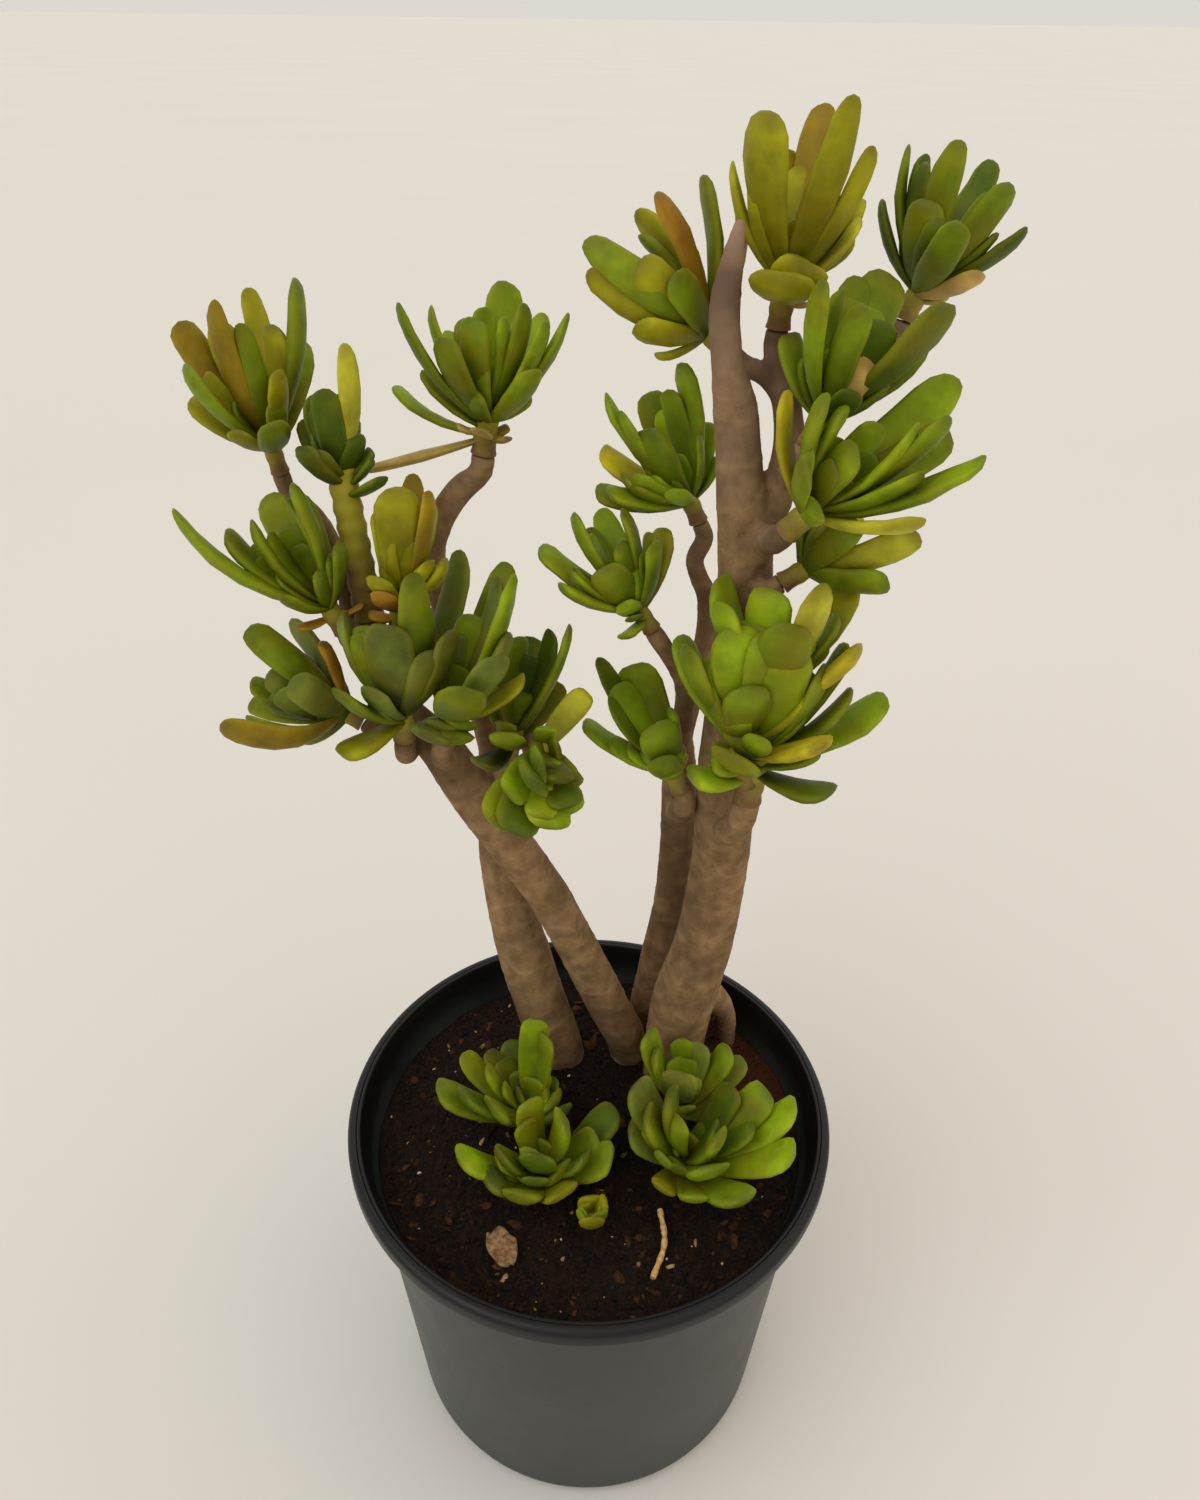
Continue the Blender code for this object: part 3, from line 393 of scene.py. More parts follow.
def stem_lines(stem: dict[str, list[tuple[float, ...]]], step: float) -> list[list[Vector]]:
    """The smoothed lines of a stem and its twigs, each drawn on to the foot of the shoot that it carries.

    Args:
        stem: The stem's table of points.
        step: About how far apart a line's points are.

    Returns:
        The lines.
    """
    lines = []
    for name, points in stem.items():
        ends = list(points)
        for shoot in SHOOTS.values():
            if shoot.carrier == name:
                foot, _, way = shoot_axis(shoot)
                ends += [(*(foot - way * back), shoot.radius) for back in (TWIG_END, GAP)]
        lines.append(smooth(ends, step))
    return lines


def soil_height(x: float, y: float) -> float:
    """The height of the soil: a low mound with bumps."""
    far = math.hypot(x, y) / POT_BODY_TOP_R
    bumps = math.sin(x / 7 + 1) * math.sin(y / 6) + math.sin((x + y) / 4.3) * 0.5
    return SOIL_LEVEL + SOIL_MOUND * (1 - far * far) + SOIL_BUMP * bumps / 1.5


def straw_line(step: float) -> list[Vector]:
    """The fallen stalk, clear of the highest soil under it."""
    lift = max(soil_height(x, y) for x, y in STRAW) + STRAW_R + 2 * GAP
    return smooth([(x, y, lift, STRAW_R) for x, y in STRAW], step)


def add_object(name: str, data: bpy.types.ID) -> bpy.types.Object:
    """A new object in the scene."""
    made = bpy.data.objects.new(name, data)
    bpy.context.scene.collection.objects.link(made)
    return made


def mesh_of(name: str, shape: bmesh.types.BMesh) -> bpy.types.Mesh:
    """A smooth-shaded mesh from a bmesh, which is freed."""
    data = bpy.data.meshes.new(name)
    shape.to_mesh(data)
    shape.free()
    data.polygons.foreach_set("use_smooth", [True] * len(data.polygons))
    return data


def plain(thing: bpy.types.Object) -> None:
    """Turns an object's modifiers into its plain mesh."""
    graph = bpy.context.evaluated_depsgraph_get()
    made = bpy.data.meshes.new_from_object(thing.evaluated_get(graph), preserve_all_data_layers=True,
                                           depsgraph=graph)
    made.name = thing.name
    thing.modifiers.clear()
    thing.data = made


def helpers(name: str, meshes: list[bpy.types.Mesh]) -> bpy.types.Collection:
    """A collection of objects that only help to build others, each named for its mesh."""
    made = bpy.data.collections.new(name)
    for data in meshes:
        made.objects.link(bpy.data.objects.new(data.name, data))
    return made


def discard(collection: bpy.types.Collection) -> None:
    """Removes a collection and its objects."""
    for thing in list(collection.objects):
        bpy.data.objects.remove(thing)
    bpy.data.collections.remove(collection)


def store(data: bpy.types.Mesh, name: str, values: list, kind: str = "FLOAT") -> None:
    """Stores a value for each vertex.

    Args:
        data: The mesh.
        name: The attribute's name.
        values: One row for each vertex.
        kind: Blender's name for the kind of attribute.
    """
    field_name = {"FLOAT_VECTOR": "vector", "FLOAT_COLOR": "color"}.get(kind, "value")
    rows = np.array(values, np.int32 if kind == "INT" else np.float32)
    data.attributes.new(name, kind, "POINT").data.foreach_set(field_name, rows.ravel())


def line_object(name: str, lines: list[list[Vector]]) -> bpy.types.Object:
    """An object of bare edges along lines, with each point's radius in girth and its place in rise."""
    points = [p for line in lines for p in line]
    edges, start = [], 0
    for line in lines:
        edges += [(start + i, start + i + 1) for i in range(len(line) - 1)]
        start += len(line)
    data = bpy.data.meshes.new(name)
    data.from_pydata([p.xyz * MM for p in points], edges, [])
    store(data, "girth", [p.w * MM for p in points])
    store(data, "rise", [i / (len(line) - 1) for line in lines for i in range(len(line))])
    return add_object(name, data)


def finish_piece(thing: bpy.types.Object, slot: str, *nodes: str) -> None:
    """Makes a finished piece ride on the plant's one body.

    Args:
        thing: The piece.
        slot: The record's material slot of its finish; not used.
        *nodes: The solids that it stands for.
    """
    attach(thing, BODY)
    if nodes:
        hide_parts(*nodes)
    LOG.info("%s: %d faces", thing.name, len(thing.data.polygons))


class Graph:
    """A node tree under way."""

    def __init__(self, tree: bpy.types.NodeTree) -> None:
        """Keeps the tree."""
        self.tree = tree

    def feed(self, node: bpy.types.Node, inputs: dict | tuple) -> None:
        """Gives a node its inputs, in order or by name or place: each a socket to link, or a value."""
        for key, value in inputs.items() if isinstance(inputs, dict) else enumerate(inputs):
            if isinstance(value, bpy.types.NodeSocket):
                self.tree.links.new(value, node.inputs[key])
            else:
                node.inputs[key].default_value = value

    def add(self, kind: str, inputs: dict | tuple = (), out: int | str = 0,
            **settings) -> bpy.types.NodeSocket:
        """Adds a node.

        Args:
            kind: Blender's name for the kind of node.
            inputs: What goes into its inputs.
            out: The output that is wanted, by its place or name.
            **settings: The node's own settings.

        Returns:
            That output.
        """
        made = self.tree.nodes.new(kind)
        for name, value in settings.items():
            setattr(made, name, value)
        self.feed(made, inputs)
        return made.outputs[out]


class Shaper(Graph):
    """A geometry tree with named inputs."""

    def __init__(self, name: str, inputs: dict[str, tuple[str, object]]) -> None:
        """Starts the tree.

        Args:
            name: Its name.
            inputs: Each input's kind of socket and its first value, by its name.
        """
        super().__init__(bpy.data.node_groups.new(name, "GeometryNodeTree"))
        self.tree.interface.new_socket("Geometry", in_out="INPUT", socket_type="NodeSocketGeometry")
        self.tree.interface.new_socket("Geometry", in_out="OUTPUT", socket_type="NodeSocketGeometry")
        for label, (kind, value) in inputs.items():
            socket = self.tree.interface.new_socket(label, in_out="INPUT", socket_type=f"NodeSocket{kind}")
            if value is not None:
                socket.default_value = value
        self.given = self.tree.nodes.new("NodeGroupInput").outputs
        self.place = self.add("GeometryNodeInputPosition")

    def close(self, geometry: bpy.types.NodeSocket, material: str = "") -> "Shaper":
        """Makes instances real, sets the material of that input if one is named, and ends the tree."""
        geometry = self.add("GeometryNodeRealizeInstances", (geometry,))
        if material:
            geometry = self.add(SET_MATERIAL, {0: geometry, "Material": self.given[material]})
        self.feed(self.tree.nodes.new("NodeGroupOutput"), (geometry,))
        return self

    def run(self, thing: bpy.types.Object, **values) -> None:
        """Runs the tree on an object and keeps the result as its plain mesh.

        Args:
            thing: The object.
            **values: The values of the tree's inputs, by name with _ for a space.
        """
        modifier = thing.modifiers.new(self.tree.name, "NODES")
        modifier.node_group = self.tree
        for item in self.tree.interface.items_tree:
            key = item.name.replace(" ", "_").lower()
            if item.in_out == "INPUT" and key in values:
                modifier[item.identifier] = values[key]
        plain(thing)


class Skin(Graph):
    """A material under way, with its shader, the place of each point and one grain for its patterns."""

    def __init__(self, name: str, grain_mm: float, detail: float, roughness: float = 0.5) -> None:
        """Starts the material.

        Args:
            name: Its name.
            grain_mm: The size of its grain.
            detail: How many finer layers the grain has.
            roughness: How strong those are.
        """
        self.material = bpy.data.materials.new(name)
        self.material.use_nodes = True
        super().__init__(self.material.node_tree)
        self.shader = self.tree.nodes["Principled BSDF"]
        self.place = self.add("ShaderNodeTexCoord", out="Object")
        self.grain = self.add(NOISE, {"Vector": self.place, "Scale": 1 / (grain_mm * MM), "Detail": detail,
                                      "Roughness": roughness})

    def lay(self, value: bpy.types.NodeSocket, ends: tuple[float, float], shares: tuple[float, float],
            under: bpy.types.NodeSocket | str, over: str) -> bpy.types.NodeSocket:
        """Lays a colour over another by a value.

        Args:
            value: The value.
            ends: Where the share of the upper colour starts and stops changing.
            shares: Its share at each end.
            under: The lower colour.
            over: The upper colour.

        Returns:
            The colour.
        """
        share = self.add(RANGE, {"Value": value, "From Min": ends[0], "From Max": ends[1],
                                 "To Min": shares[0], "To Max": shares[1]})
        under = linear(under) if isinstance(under, str) else under
        return self.add(MIX, {0: share, 6: under, 7: linear(over)}, out=2, data_type="RGBA")

    def finish(self, colour: bpy.types.NodeSocket, roughness: float | bpy.types.NodeSocket, sheen: float,
               strength: float, depth_mm: float,
               height: bpy.types.NodeSocket | None = None) -> bpy.types.Material:
        """Feeds the shader.

        Args:
            colour: The colour.
            roughness: The roughness.
            sheen: The specular level.
            strength: The strength of the relief.
            depth_mm: Its depth.
            height: Its pattern, if it isn't the grain.

        Returns:
            The material.
        """
        relief = self.add("ShaderNodeBump", {"Strength": strength, "Distance": depth_mm * MM,
                                             "Height": self.grain if height is None else height})
        self.feed(self.shader, {"Base Color": colour, "Normal": relief, "Roughness": roughness,
                                "Specular IOR Level": sheen})
        return self.material


@dataclass(frozen=True)
class JadeLeaf:
    """The skin of a jade leaf: thick and waxy, with a ripe blush, fine dots and painted light and shade."""

    blush: str = "#86700f"
    # The colour of the painted glow at the leaf's margin
    margin: str = "#b3b02a"
    tip: str = "#454010"
    dot: str = "#a3aa4c"
    mottle_mm: float = 11.0
    blush_mm: float = 15.0
    dot_mm: float = 0.8
    roughness: float = 0.5
    sheen: float = 0.14
    glow: float = 0.12
    glow_mm: float = 2.0

    def make(self) -> bpy.types.Material:
        """The material. It reads the leaf's own colour and how far along and across the leaf a point is."""
        skin = Skin("jade leaf skin", self.mottle_mm, 3.0, 0.6)
        tint = skin.add(ATTRIBUTE, out="Color", attribute_name="tint")
        along = skin.add(ATTRIBUTE, out="Fac", attribute_name="along")
        across = skin.add(ATTRIBUTE, out="Fac", attribute_name="across")
        shade = skin.add(RANGE, {"Value": skin.grain, "From Min": 0.3, "From Max": 0.7, "To Min": 0.62,
                                 "To Max": 1.34})
        # Painted shade: each leaf is darker at its base, in the rosette's crowded core, and painted lighter
        # towards its tip
        painted_core_shade = skin.add(RANGE, {"Value": along, "From Min": 0.1, "From Max": 0.95, "To Min": 0.6,
                                    "To Max": 1.3})
        light = skin.add(MATH, (shade, painted_core_shade), operation="MULTIPLY")
        patch = skin.add(NOISE, {"Vector": skin.place, "Scale": 1 / (self.blush_mm * MM), "Detail": 4.0})
        dots = skin.add("ShaderNodeTexVoronoi", {"Vector": skin.place, "Scale": 1 / (self.dot_mm * MM)},
                        out="Distance")
        colour = skin.add("ShaderNodeHueSaturation", {"Color": tint, "Value": light})
        for value, ends, shares, over in (
                (patch, (0.48, 0.7), (0.0, 0.45), self.blush),
                # Painted glow: the paler margin stands in for light shining through the leaf's thin edges
                (across, (0.78, 1.0), (0.0, 0.16), self.margin),
                (along, (0.9, 1.0), (0.0, 0.5), self.tip),
                (dots, (0.12, 0.22), (0.1, 0.0), self.dot)):
            colour = skin.lay(value, ends, shares, colour, over)
        skin.feed(skin.shader, {"Subsurface Weight": self.glow, "Subsurface Radius": (0.5, 1.0, 0.2),
                                "Subsurface Scale": self.glow_mm * MM})
        return skin.finish(colour, self.roughness, self.sheen, 0.25, 0.3)


@dataclass(frozen=True)
class GreenShoot:
    """The skin of a green shoot: smooth, turning woody at its foot."""

    green: str = "#a0962a"
    woody: str = "#775a36"
    band_mm: float = 5.0

    def make(self) -> bpy.types.Material:
        """The material. It reads how far up its shoot a point is."""
        skin = Skin("green shoot skin", self.band_mm, 4.0)
        rise = skin.add(ATTRIBUTE, out="Fac", attribute_name="rise")
        age = skin.add(MATH, (skin.grain, rise), operation="SUBTRACT")
        return skin.finish(skin.lay(age, (-0.1, 0.5), ALL, self.green, self.woody), 0.6, 0.2, 0.4, 0.4)


@dataclass(frozen=True)
class JadeBark:
    """The bark of an old jade stem: thin, dull, grey-brown, with rings where leaves stood and fine cracks."""

    light: str = "#a3845d"
    dark: str = "#644a2e"
    moss: str = "#46341f"
    grey: str = "#a08470"
    grain_mm: float = 5.0
    patch_mm: float = 26.0
    ring_share: float = 0.12
    patch_height: float = 0.16

    def make(self) -> bpy.types.Material:
        """The material. It reads how far out a point stands on a ring, and it greys towards the top."""
        skin = Skin("jade bark", self.grain_mm, 6.0, 0.65)
        patch = skin.add(NOISE, {"Vector": skin.place, "Scale": 1 / (self.patch_mm * MM), "Detail": 3.0})
        relief = skin.add(ATTRIBUTE, out="Fac", attribute_name="relief")
        total = skin.add(MATH, (relief, self.ring_share, skin.grain), operation="MULTIPLY_ADD")
        height = skin.add("ShaderNodeSeparateXYZ", (skin.place,), out="Z")
        blotch = skin.add(MATH, (patch, self.patch_height, height), operation="MULTIPLY_ADD")
        brown = skin.lay(total, (0.25, 0.8), ALL, self.dark, self.light)
        greyed = skin.lay(blotch, (0.39, 0.49), (0.0, 0.75), brown, self.grey)
        mossy = skin.lay(patch, (0.46, 0.66), (0.0, 0.65), greyed, self.moss)
        return skin.finish(mossy, 0.82, 0.2, 0.5, 0.5)


def reddened(skin: Skin, colour: bpy.types.NodeSocket) -> bpy.types.NodeSocket:
    """Reddens the colour where bark lies thick on the mix, behind the main stem on the right."""
    away = skin.add(VECTOR, (skin.place, BARK_HEAP), out="Value", operation="DISTANCE")
    return skin.lay(away, BARK_HEAP_ENDS, (0.75, 0.0), colour, BARK_RED)


@dataclass(frozen=True)
class PottingMix:
    """Moist potting mix: nearly black peat with brown fibres and chips, each crumb a little different."""

    peat: str = "#120d09"
    brown: str = "#2f1d12"
    fibre_mm: float = 2.2

    def make(self) -> bpy.types.Material:
        """The material of the bed."""
        skin = Skin("potting mix", self.fibre_mm, 8.0, 0.7)
        colour = skin.lay(skin.grain, (0.42, 0.7), ALL, self.peat, self.brown)
        return skin.finish(reddened(skin, colour), 0.95, 0.15, 1.0, 1.0)


@dataclass(frozen=True)
class Crumb:
    """Loose bits of the mix, peat, bark and perlite, that take their colour from the attribute tint."""

    grain_mm: float = 1.0

    def make(self) -> bpy.types.Material:
        """The material."""
        skin = Skin("potting mix crumb", self.grain_mm, 5.0)
        tint = skin.add(ATTRIBUTE, out="Color", attribute_name="tint")
        shade = skin.add(RANGE, {"Value": skin.grain, "From Min": 0.3, "From Max": 0.7, "To Min": 0.55,
                                 "To Max": 1.4})
        colour = skin.add("ShaderNodeHueSaturation", {"Color": tint, "Value": shade})
        return skin.finish(reddened(skin, colour), 0.9, 0.15, 0.8, 0.4)


@dataclass(frozen=True)
class PotPlastic:
    """Black polypropylene of a nursery pot: satin, greyed by handling, with painted shade on its collar and
    lip.
    """

    black: str = "#232725"
    worn: str = "#3b403c"
    # The colour of the painted shade on the collar and lip
    lip: str = "#0c0d0d"
    scuff_mm: float = 30.0
    grain_mm: float = 1.2
    # The heights in metres where the painted shade starts and where it is full
    painted_shade_from: tuple[float, float] = (0.116, 0.125)

    def make(self) -> bpy.types.Material:
        """The material."""
        skin = Skin("nursery pot polypropylene", self.scuff_mm, 6.0, 0.6)
        grain = skin.add(NOISE, {"Vector": skin.place, "Scale": 1 / (self.grain_mm * MM), "Detail": 3.0})
        colour = skin.lay(skin.grain, (0.4, 0.75), (0.0, 0.8), self.black, self.worn)
        rough = skin.add(RANGE, {"Value": skin.grain, "From Min": 0.3, "From Max": 0.75, "To Min": 0.36,
                                 "To Max": 0.52})
        height = skin.add("ShaderNodeSeparateXYZ", (skin.place,), out="Z")
        # Painted shade: darker over the collar and lip, as in the shade under the overhanging lip
        shaded_lip = skin.lay(height, self.painted_shade_from, ALL, colour, self.lip)
        return skin.finish(shaded_lip, rough, 0.3, 0.12, 0.2, grain)


@dataclass(frozen=True)
class DryTissue:
    """Dead leaf, sheath or stalk: papery, fibrous and dull."""

    name: str
    pale: str
    dark: str
    fibre_mm: float = 1.6

    def make(self) -> bpy.types.Material:
        """The material."""
        skin = Skin(self.name, self.fibre_mm, 5.0, 0.6)
        return skin.finish(skin.lay(skin.grain, (0.35, 0.65), ALL, self.dark, self.pale), 0.85, 0.2, 0.7, 0.3)


def leaf_width(share: float) -> float:
    """A solid leaf's width at a share of its length, as a share of its full width."""
    (s0, w0), (s1, w1) = next(pair for pair in zip(LEAF_RINGS, LEAF_RINGS[1:]) if share <= pair[1][0])
    return w0 + (w1 - w0) * (share - s0) / (s1 - s0)


class Leaf:
    """A leaf: its root on the shoot's axis, its direction, the way it faces, its sizes and its colour."""

    def __init__(self, root: Vector, way: Vector, axis: Vector, length: float, width: float,
                 bow: float = LEAF_BOW, tint: Tint = MID) -> None:
        """Keeps the sizes and works out which way the leaf faces."""
        self.root, self.way, self.tint = root, way, tint
        self.length, self.width, self.bow = length, width, bow
        face = axis - way * axis.dot(way)
        if face.length < LEAST_FACE:
            face = Vector((0.01, 0, 1)) - way * way.z
        self.face = face.normalized()
        self.side = self.face.cross(way).normalized()

    def rib(self, share: float) -> Vector:
        """The point of the midrib at a share of the length. It bows out, away from the axis."""
        bulge = self.bow * self.length * 4 * share * (1 - share)
        return self.root + self.way * self.length * share - self.face * bulge

    def balls(self) -> list[tuple[Vector, float]]:
        """(point, radius) along the leaf, for testing that it is clear of what stands near it."""
        shares = [LEAF_RINGS[1][0] + BALL_STEP * i for i in range(8)]
        return [(self.rib(share), leaf_width(share) * self.width / 2) for share in shares]

    def swung(self, over: float, across: float) -> Vector:
        """Its direction swung by degrees towards its face and towards its side."""
        way = self.way + self.face * math.tan(math.radians(over)) + self.side * math.tan(math.radians(across))
        return way.normalized()


ANGLES = range(-MOST_SWING, MOST_SWING + 1, SWING_STEP)
SWINGS = sorted(((over, across) for over in ANGLES for across in ANGLES),
                key=lambda swing: math.hypot(*swing))


@dataclass
class Crown:
    """What stands already, and the leaves that have been given to each shoot.

    The rule and its draws are those of the solids' source, so every leaf here lies on its solid.
    """

    standing: list[tuple[str, Vector, float]] = field(default_factory=list)
    leaves: dict[str, list[Leaf]] = field(default_factory=lambda: {name: [] for name in SHOOTS})
    inner_each: int = 6
    inner_lean: tuple[float, float] = (12, 9)
    inner_share: tuple[float, float] = (0.4, 0.7)
    inner_widths: tuple[float, float] = (6, 8.5)
    inner_turn: float = 40.0
    beside: tuple[float, float] = (0.15, 0.3)
    upward: tuple[float, float] = (0.15, 0.5)
    shorter: tuple[float, float] = (0.66, 0.9)
    slimmer: tuple[float, float] = (0.75, 0.95)
    dry_lengths: tuple[float, float] = (7, 11)
    dry_widths: tuple[float, float] = (4, 6.5)
    dry_lean: tuple[float, float] = (-0.4, 0.7)
    dry_height: tuple[float, float] = (0.2, 0.7)
    dry_turn: float = 60.0
    lone: tuple[Tint, ...] = (TAN, ORANGE, YELLOW, LIME)
    dry: dict[str, tuple[Tint, int]] = field(default_factory=lambda: {
        "plume": (TAN, 6), "long_leaf": (ORANGE, 4), "bronze": (ORANGE, 3), "far_tip": (TAN, 6),
        "west": (ORANGE, 3), "torch": (TAN, 3), "mid_left": (TAN, 2), "skirt_left": (TAN, 2)})

    def __post_init__(self) -> None:
        """Notes the wood, the fallen stalk and the shoots."""
        for stem in STEMS.values():
            for line in stem_lines(stem, 2.5):
                self.standing += [("wood", p.xyz, p.w) for p in line]
        self.standing += [("litter", p.xyz, p.w) for p in straw_line(15)]
        for name, shoot in SHOOTS.items():
            foot, crown, _ = shoot_axis(shoot)
            count = int(shoot.length / 2) + 1
            self.standing += [(spray_of(name), foot.lerp(crown, i / count), shoot.radius)
                              for i in range(count + 1)]

    def is_clear(self, name: str, leaf: Leaf) -> bool:
        """True if a leaf of this shoot keeps clear of the pot, the soil and whatever else stands already."""
        own = spray_of(name)
        for point, radius in leaf.balls():
            reach = radius + LEAF_CLEARANCE
            if point.z - reach < SOIL_LEVEL + SOIL_MOUND + SOIL_BUMP:
                return False
            if point.z - reach < POT_HEIGHT and point.xy.length + reach > POT_BODY_TOP_R - POT_WALL:
                return False
            for owner, other, other_radius in self.standing:
                if owner != own and (point - other).length < reach + other_radius:
                    return False
        return True

    def keep_if_clear(self, name: str, leaf: Leaf) -> None:
        """Gives the shoot a leaf that the solids leave out, if it keeps clear."""
        if self.is_clear(name, leaf):
            self.leaves[name].append(leaf)

    def give(self, name: str, way: Vector, length: float, width: float, bow: float, apart: float,
             tint: Tint) -> None:
        """Gives the shoot a leaf in about that direction, swung or shortened to be clear of its neighbours.

        Where nothing clears them, no leaf is given.

        Args:
            name: The shoot.
            way: The direction wanted.
            length: The leaf's length.
            width: The leaf's width.
            bow: How far it bows, as a share of its length.
            apart: The least angle to the shoot's other leaves, in degrees.
            tint: The leaf's colour.
        """
        shoot = SHOOTS[name]
        _, crown, axis = shoot_axis(shoot)
        drop = min(ROOT_SPREAD * min(shoot.length, SHOOT_REACH), shoot.length - ROOT_COVER * width - 1)
        for size in LEAF_SIZES:
            straight = Leaf(crown, way, axis, length * size, width)
            for swing in SWINGS:
                turned = straight.swung(*swing)
                lean = min(1.0, turned.angle(axis) / (math.pi / 2))
                leaf = Leaf(crown - axis * drop * lean, turned, axis, length * size, width, bow, tint)
                near = any(turned.angle(other.way) < math.radians(apart) for other in self.leaves[name])
                if not near and self.is_clear(name, leaf):
                    self.leaves[name].append(leaf)
                    self.standing += [(spray_of(name), point, radius) for point, radius in leaf.balls()]
                    return

    def give_seen(self, name: str) -> None:
        """Gives the shoot the leaves that are listed one by one."""
        shoot = SHOOTS[name]
        for i, (heading, rise, length, width, *bow) in enumerate(shoot.leaves):
            tint = shoot.special.get(i, shoot.tints[i % 2])
            self.give(name, direction(heading, rise), length, width, bow[0] if bow else LEAF_BOW, KEY_APART,
                      tint)

    def give_fillers(self, name: str) -> None:
        """Fills the shoot's rosette in, by the golden angle round its axis."""
        shoot = SHOOTS[name]
        axis = shoot_axis(shoot)[2]
        draw = random.Random(name)
        start = draw.uniform(0, 360)
        wanted = len(self.leaves[name]) + shoot.fillers
        for i in range(3 * shoot.fillers):
            if len(self.leaves[name]) == wanted:
                return
            lean = FILLER_LEANS[0] + FILLER_LEANS[1] * (i % 4) / 3
            way = around(axis, math.radians(start + GOLDEN_TURN * i), math.radians(lean))
            length = shoot.filler_length * draw.uniform(*FILLER_SHARE)
            self.give(name, way, length, draw.uniform(*FILLER_WIDTHS), LEAF_BOW, FILLER_APART,
                      shoot.tints[i % 2])

    def give_inner(self, name: str) -> None:
        """Gives the shoot short young leaves round its tip."""
        shoot = SHOOTS[name]
        _, crown, axis = shoot_axis(shoot)
        draw = random.Random(name + "inner")
        for i in range(self.inner_each):
            turn = math.radians(GOLDEN_TURN * i + draw.uniform(0, self.inner_turn))
            way = around(axis, turn, math.radians(self.inner_lean[0] + self.inner_lean[1] * i)).normalized()
            length = shoot.filler_length * draw.uniform(*self.inner_share)
            width = draw.uniform(*self.inner_widths)
            young = Leaf(crown - axis * 2, way, axis, length, width, tint=shoot.tints[i % 2])
            self.keep_if_clear(name, young)

    def give_companions(self, name: str) -> None:
        """Sets a shorter leaf beside each leaf of the shoot, nearer its axis, to close the bases up."""
        _, crown, axis = shoot_axis(SHOOTS[name])
        draw = random.Random(name + "companions")
        for leaf in list(self.leaves[name]):
            lean = draw.choice((-1, 1)) * draw.uniform(*self.beside)
            way = (leaf.way + leaf.side * lean + axis * draw.uniform(*self.upward)).normalized()
            length = leaf.length * draw.uniform(*self.shorter)
            width = leaf.width * draw.uniform(*self.slimmer)
            near = Leaf(leaf.root.lerp(crown, 0.3), way, axis, length, width, leaf.bow)
            if leaf.tint not in self.lone:
                near.tint = SHOOTS[name].tints[draw.randrange(2)]
                self.keep_if_clear(name, near)

    def give_dry(self, name: str, tint: Tint, count: int) -> None:
        """Leaves withered scales round the foot of the shoot."""
        foot, crown, axis = shoot_axis(SHOOTS[name])
        draw = random.Random(name + "dry")
        for i in range(count):
            turn = math.radians(GOLDEN_TURN * i + draw.uniform(0, self.dry_turn))
            way = (around(axis, turn, math.pi / 2) + axis * draw.uniform(*self.dry_lean)).normalized()
            root = foot.lerp(crown, draw.uniform(*self.dry_height))
            length = draw.uniform(*self.dry_lengths)
            self.keep_if_clear(name, Leaf(root, way, axis, length, draw.uniform(*self.dry_widths), tint=tint))

    def grow(self) -> dict[str, list[Leaf]]:
        """Every shoot's leaves by its name: those that the solids have, then those of the looks alone."""
        for name in SHOOTS:
            self.give_seen(name)
        for name in SHOOTS:
            self.give_fillers(name)
        for name in SHOOTS:
            self.give_companions(name)
            self.give_inner(name)
        for name, (tint, count) in self.dry.items():
            self.give_dry(name, tint, count)
        return self.leaves


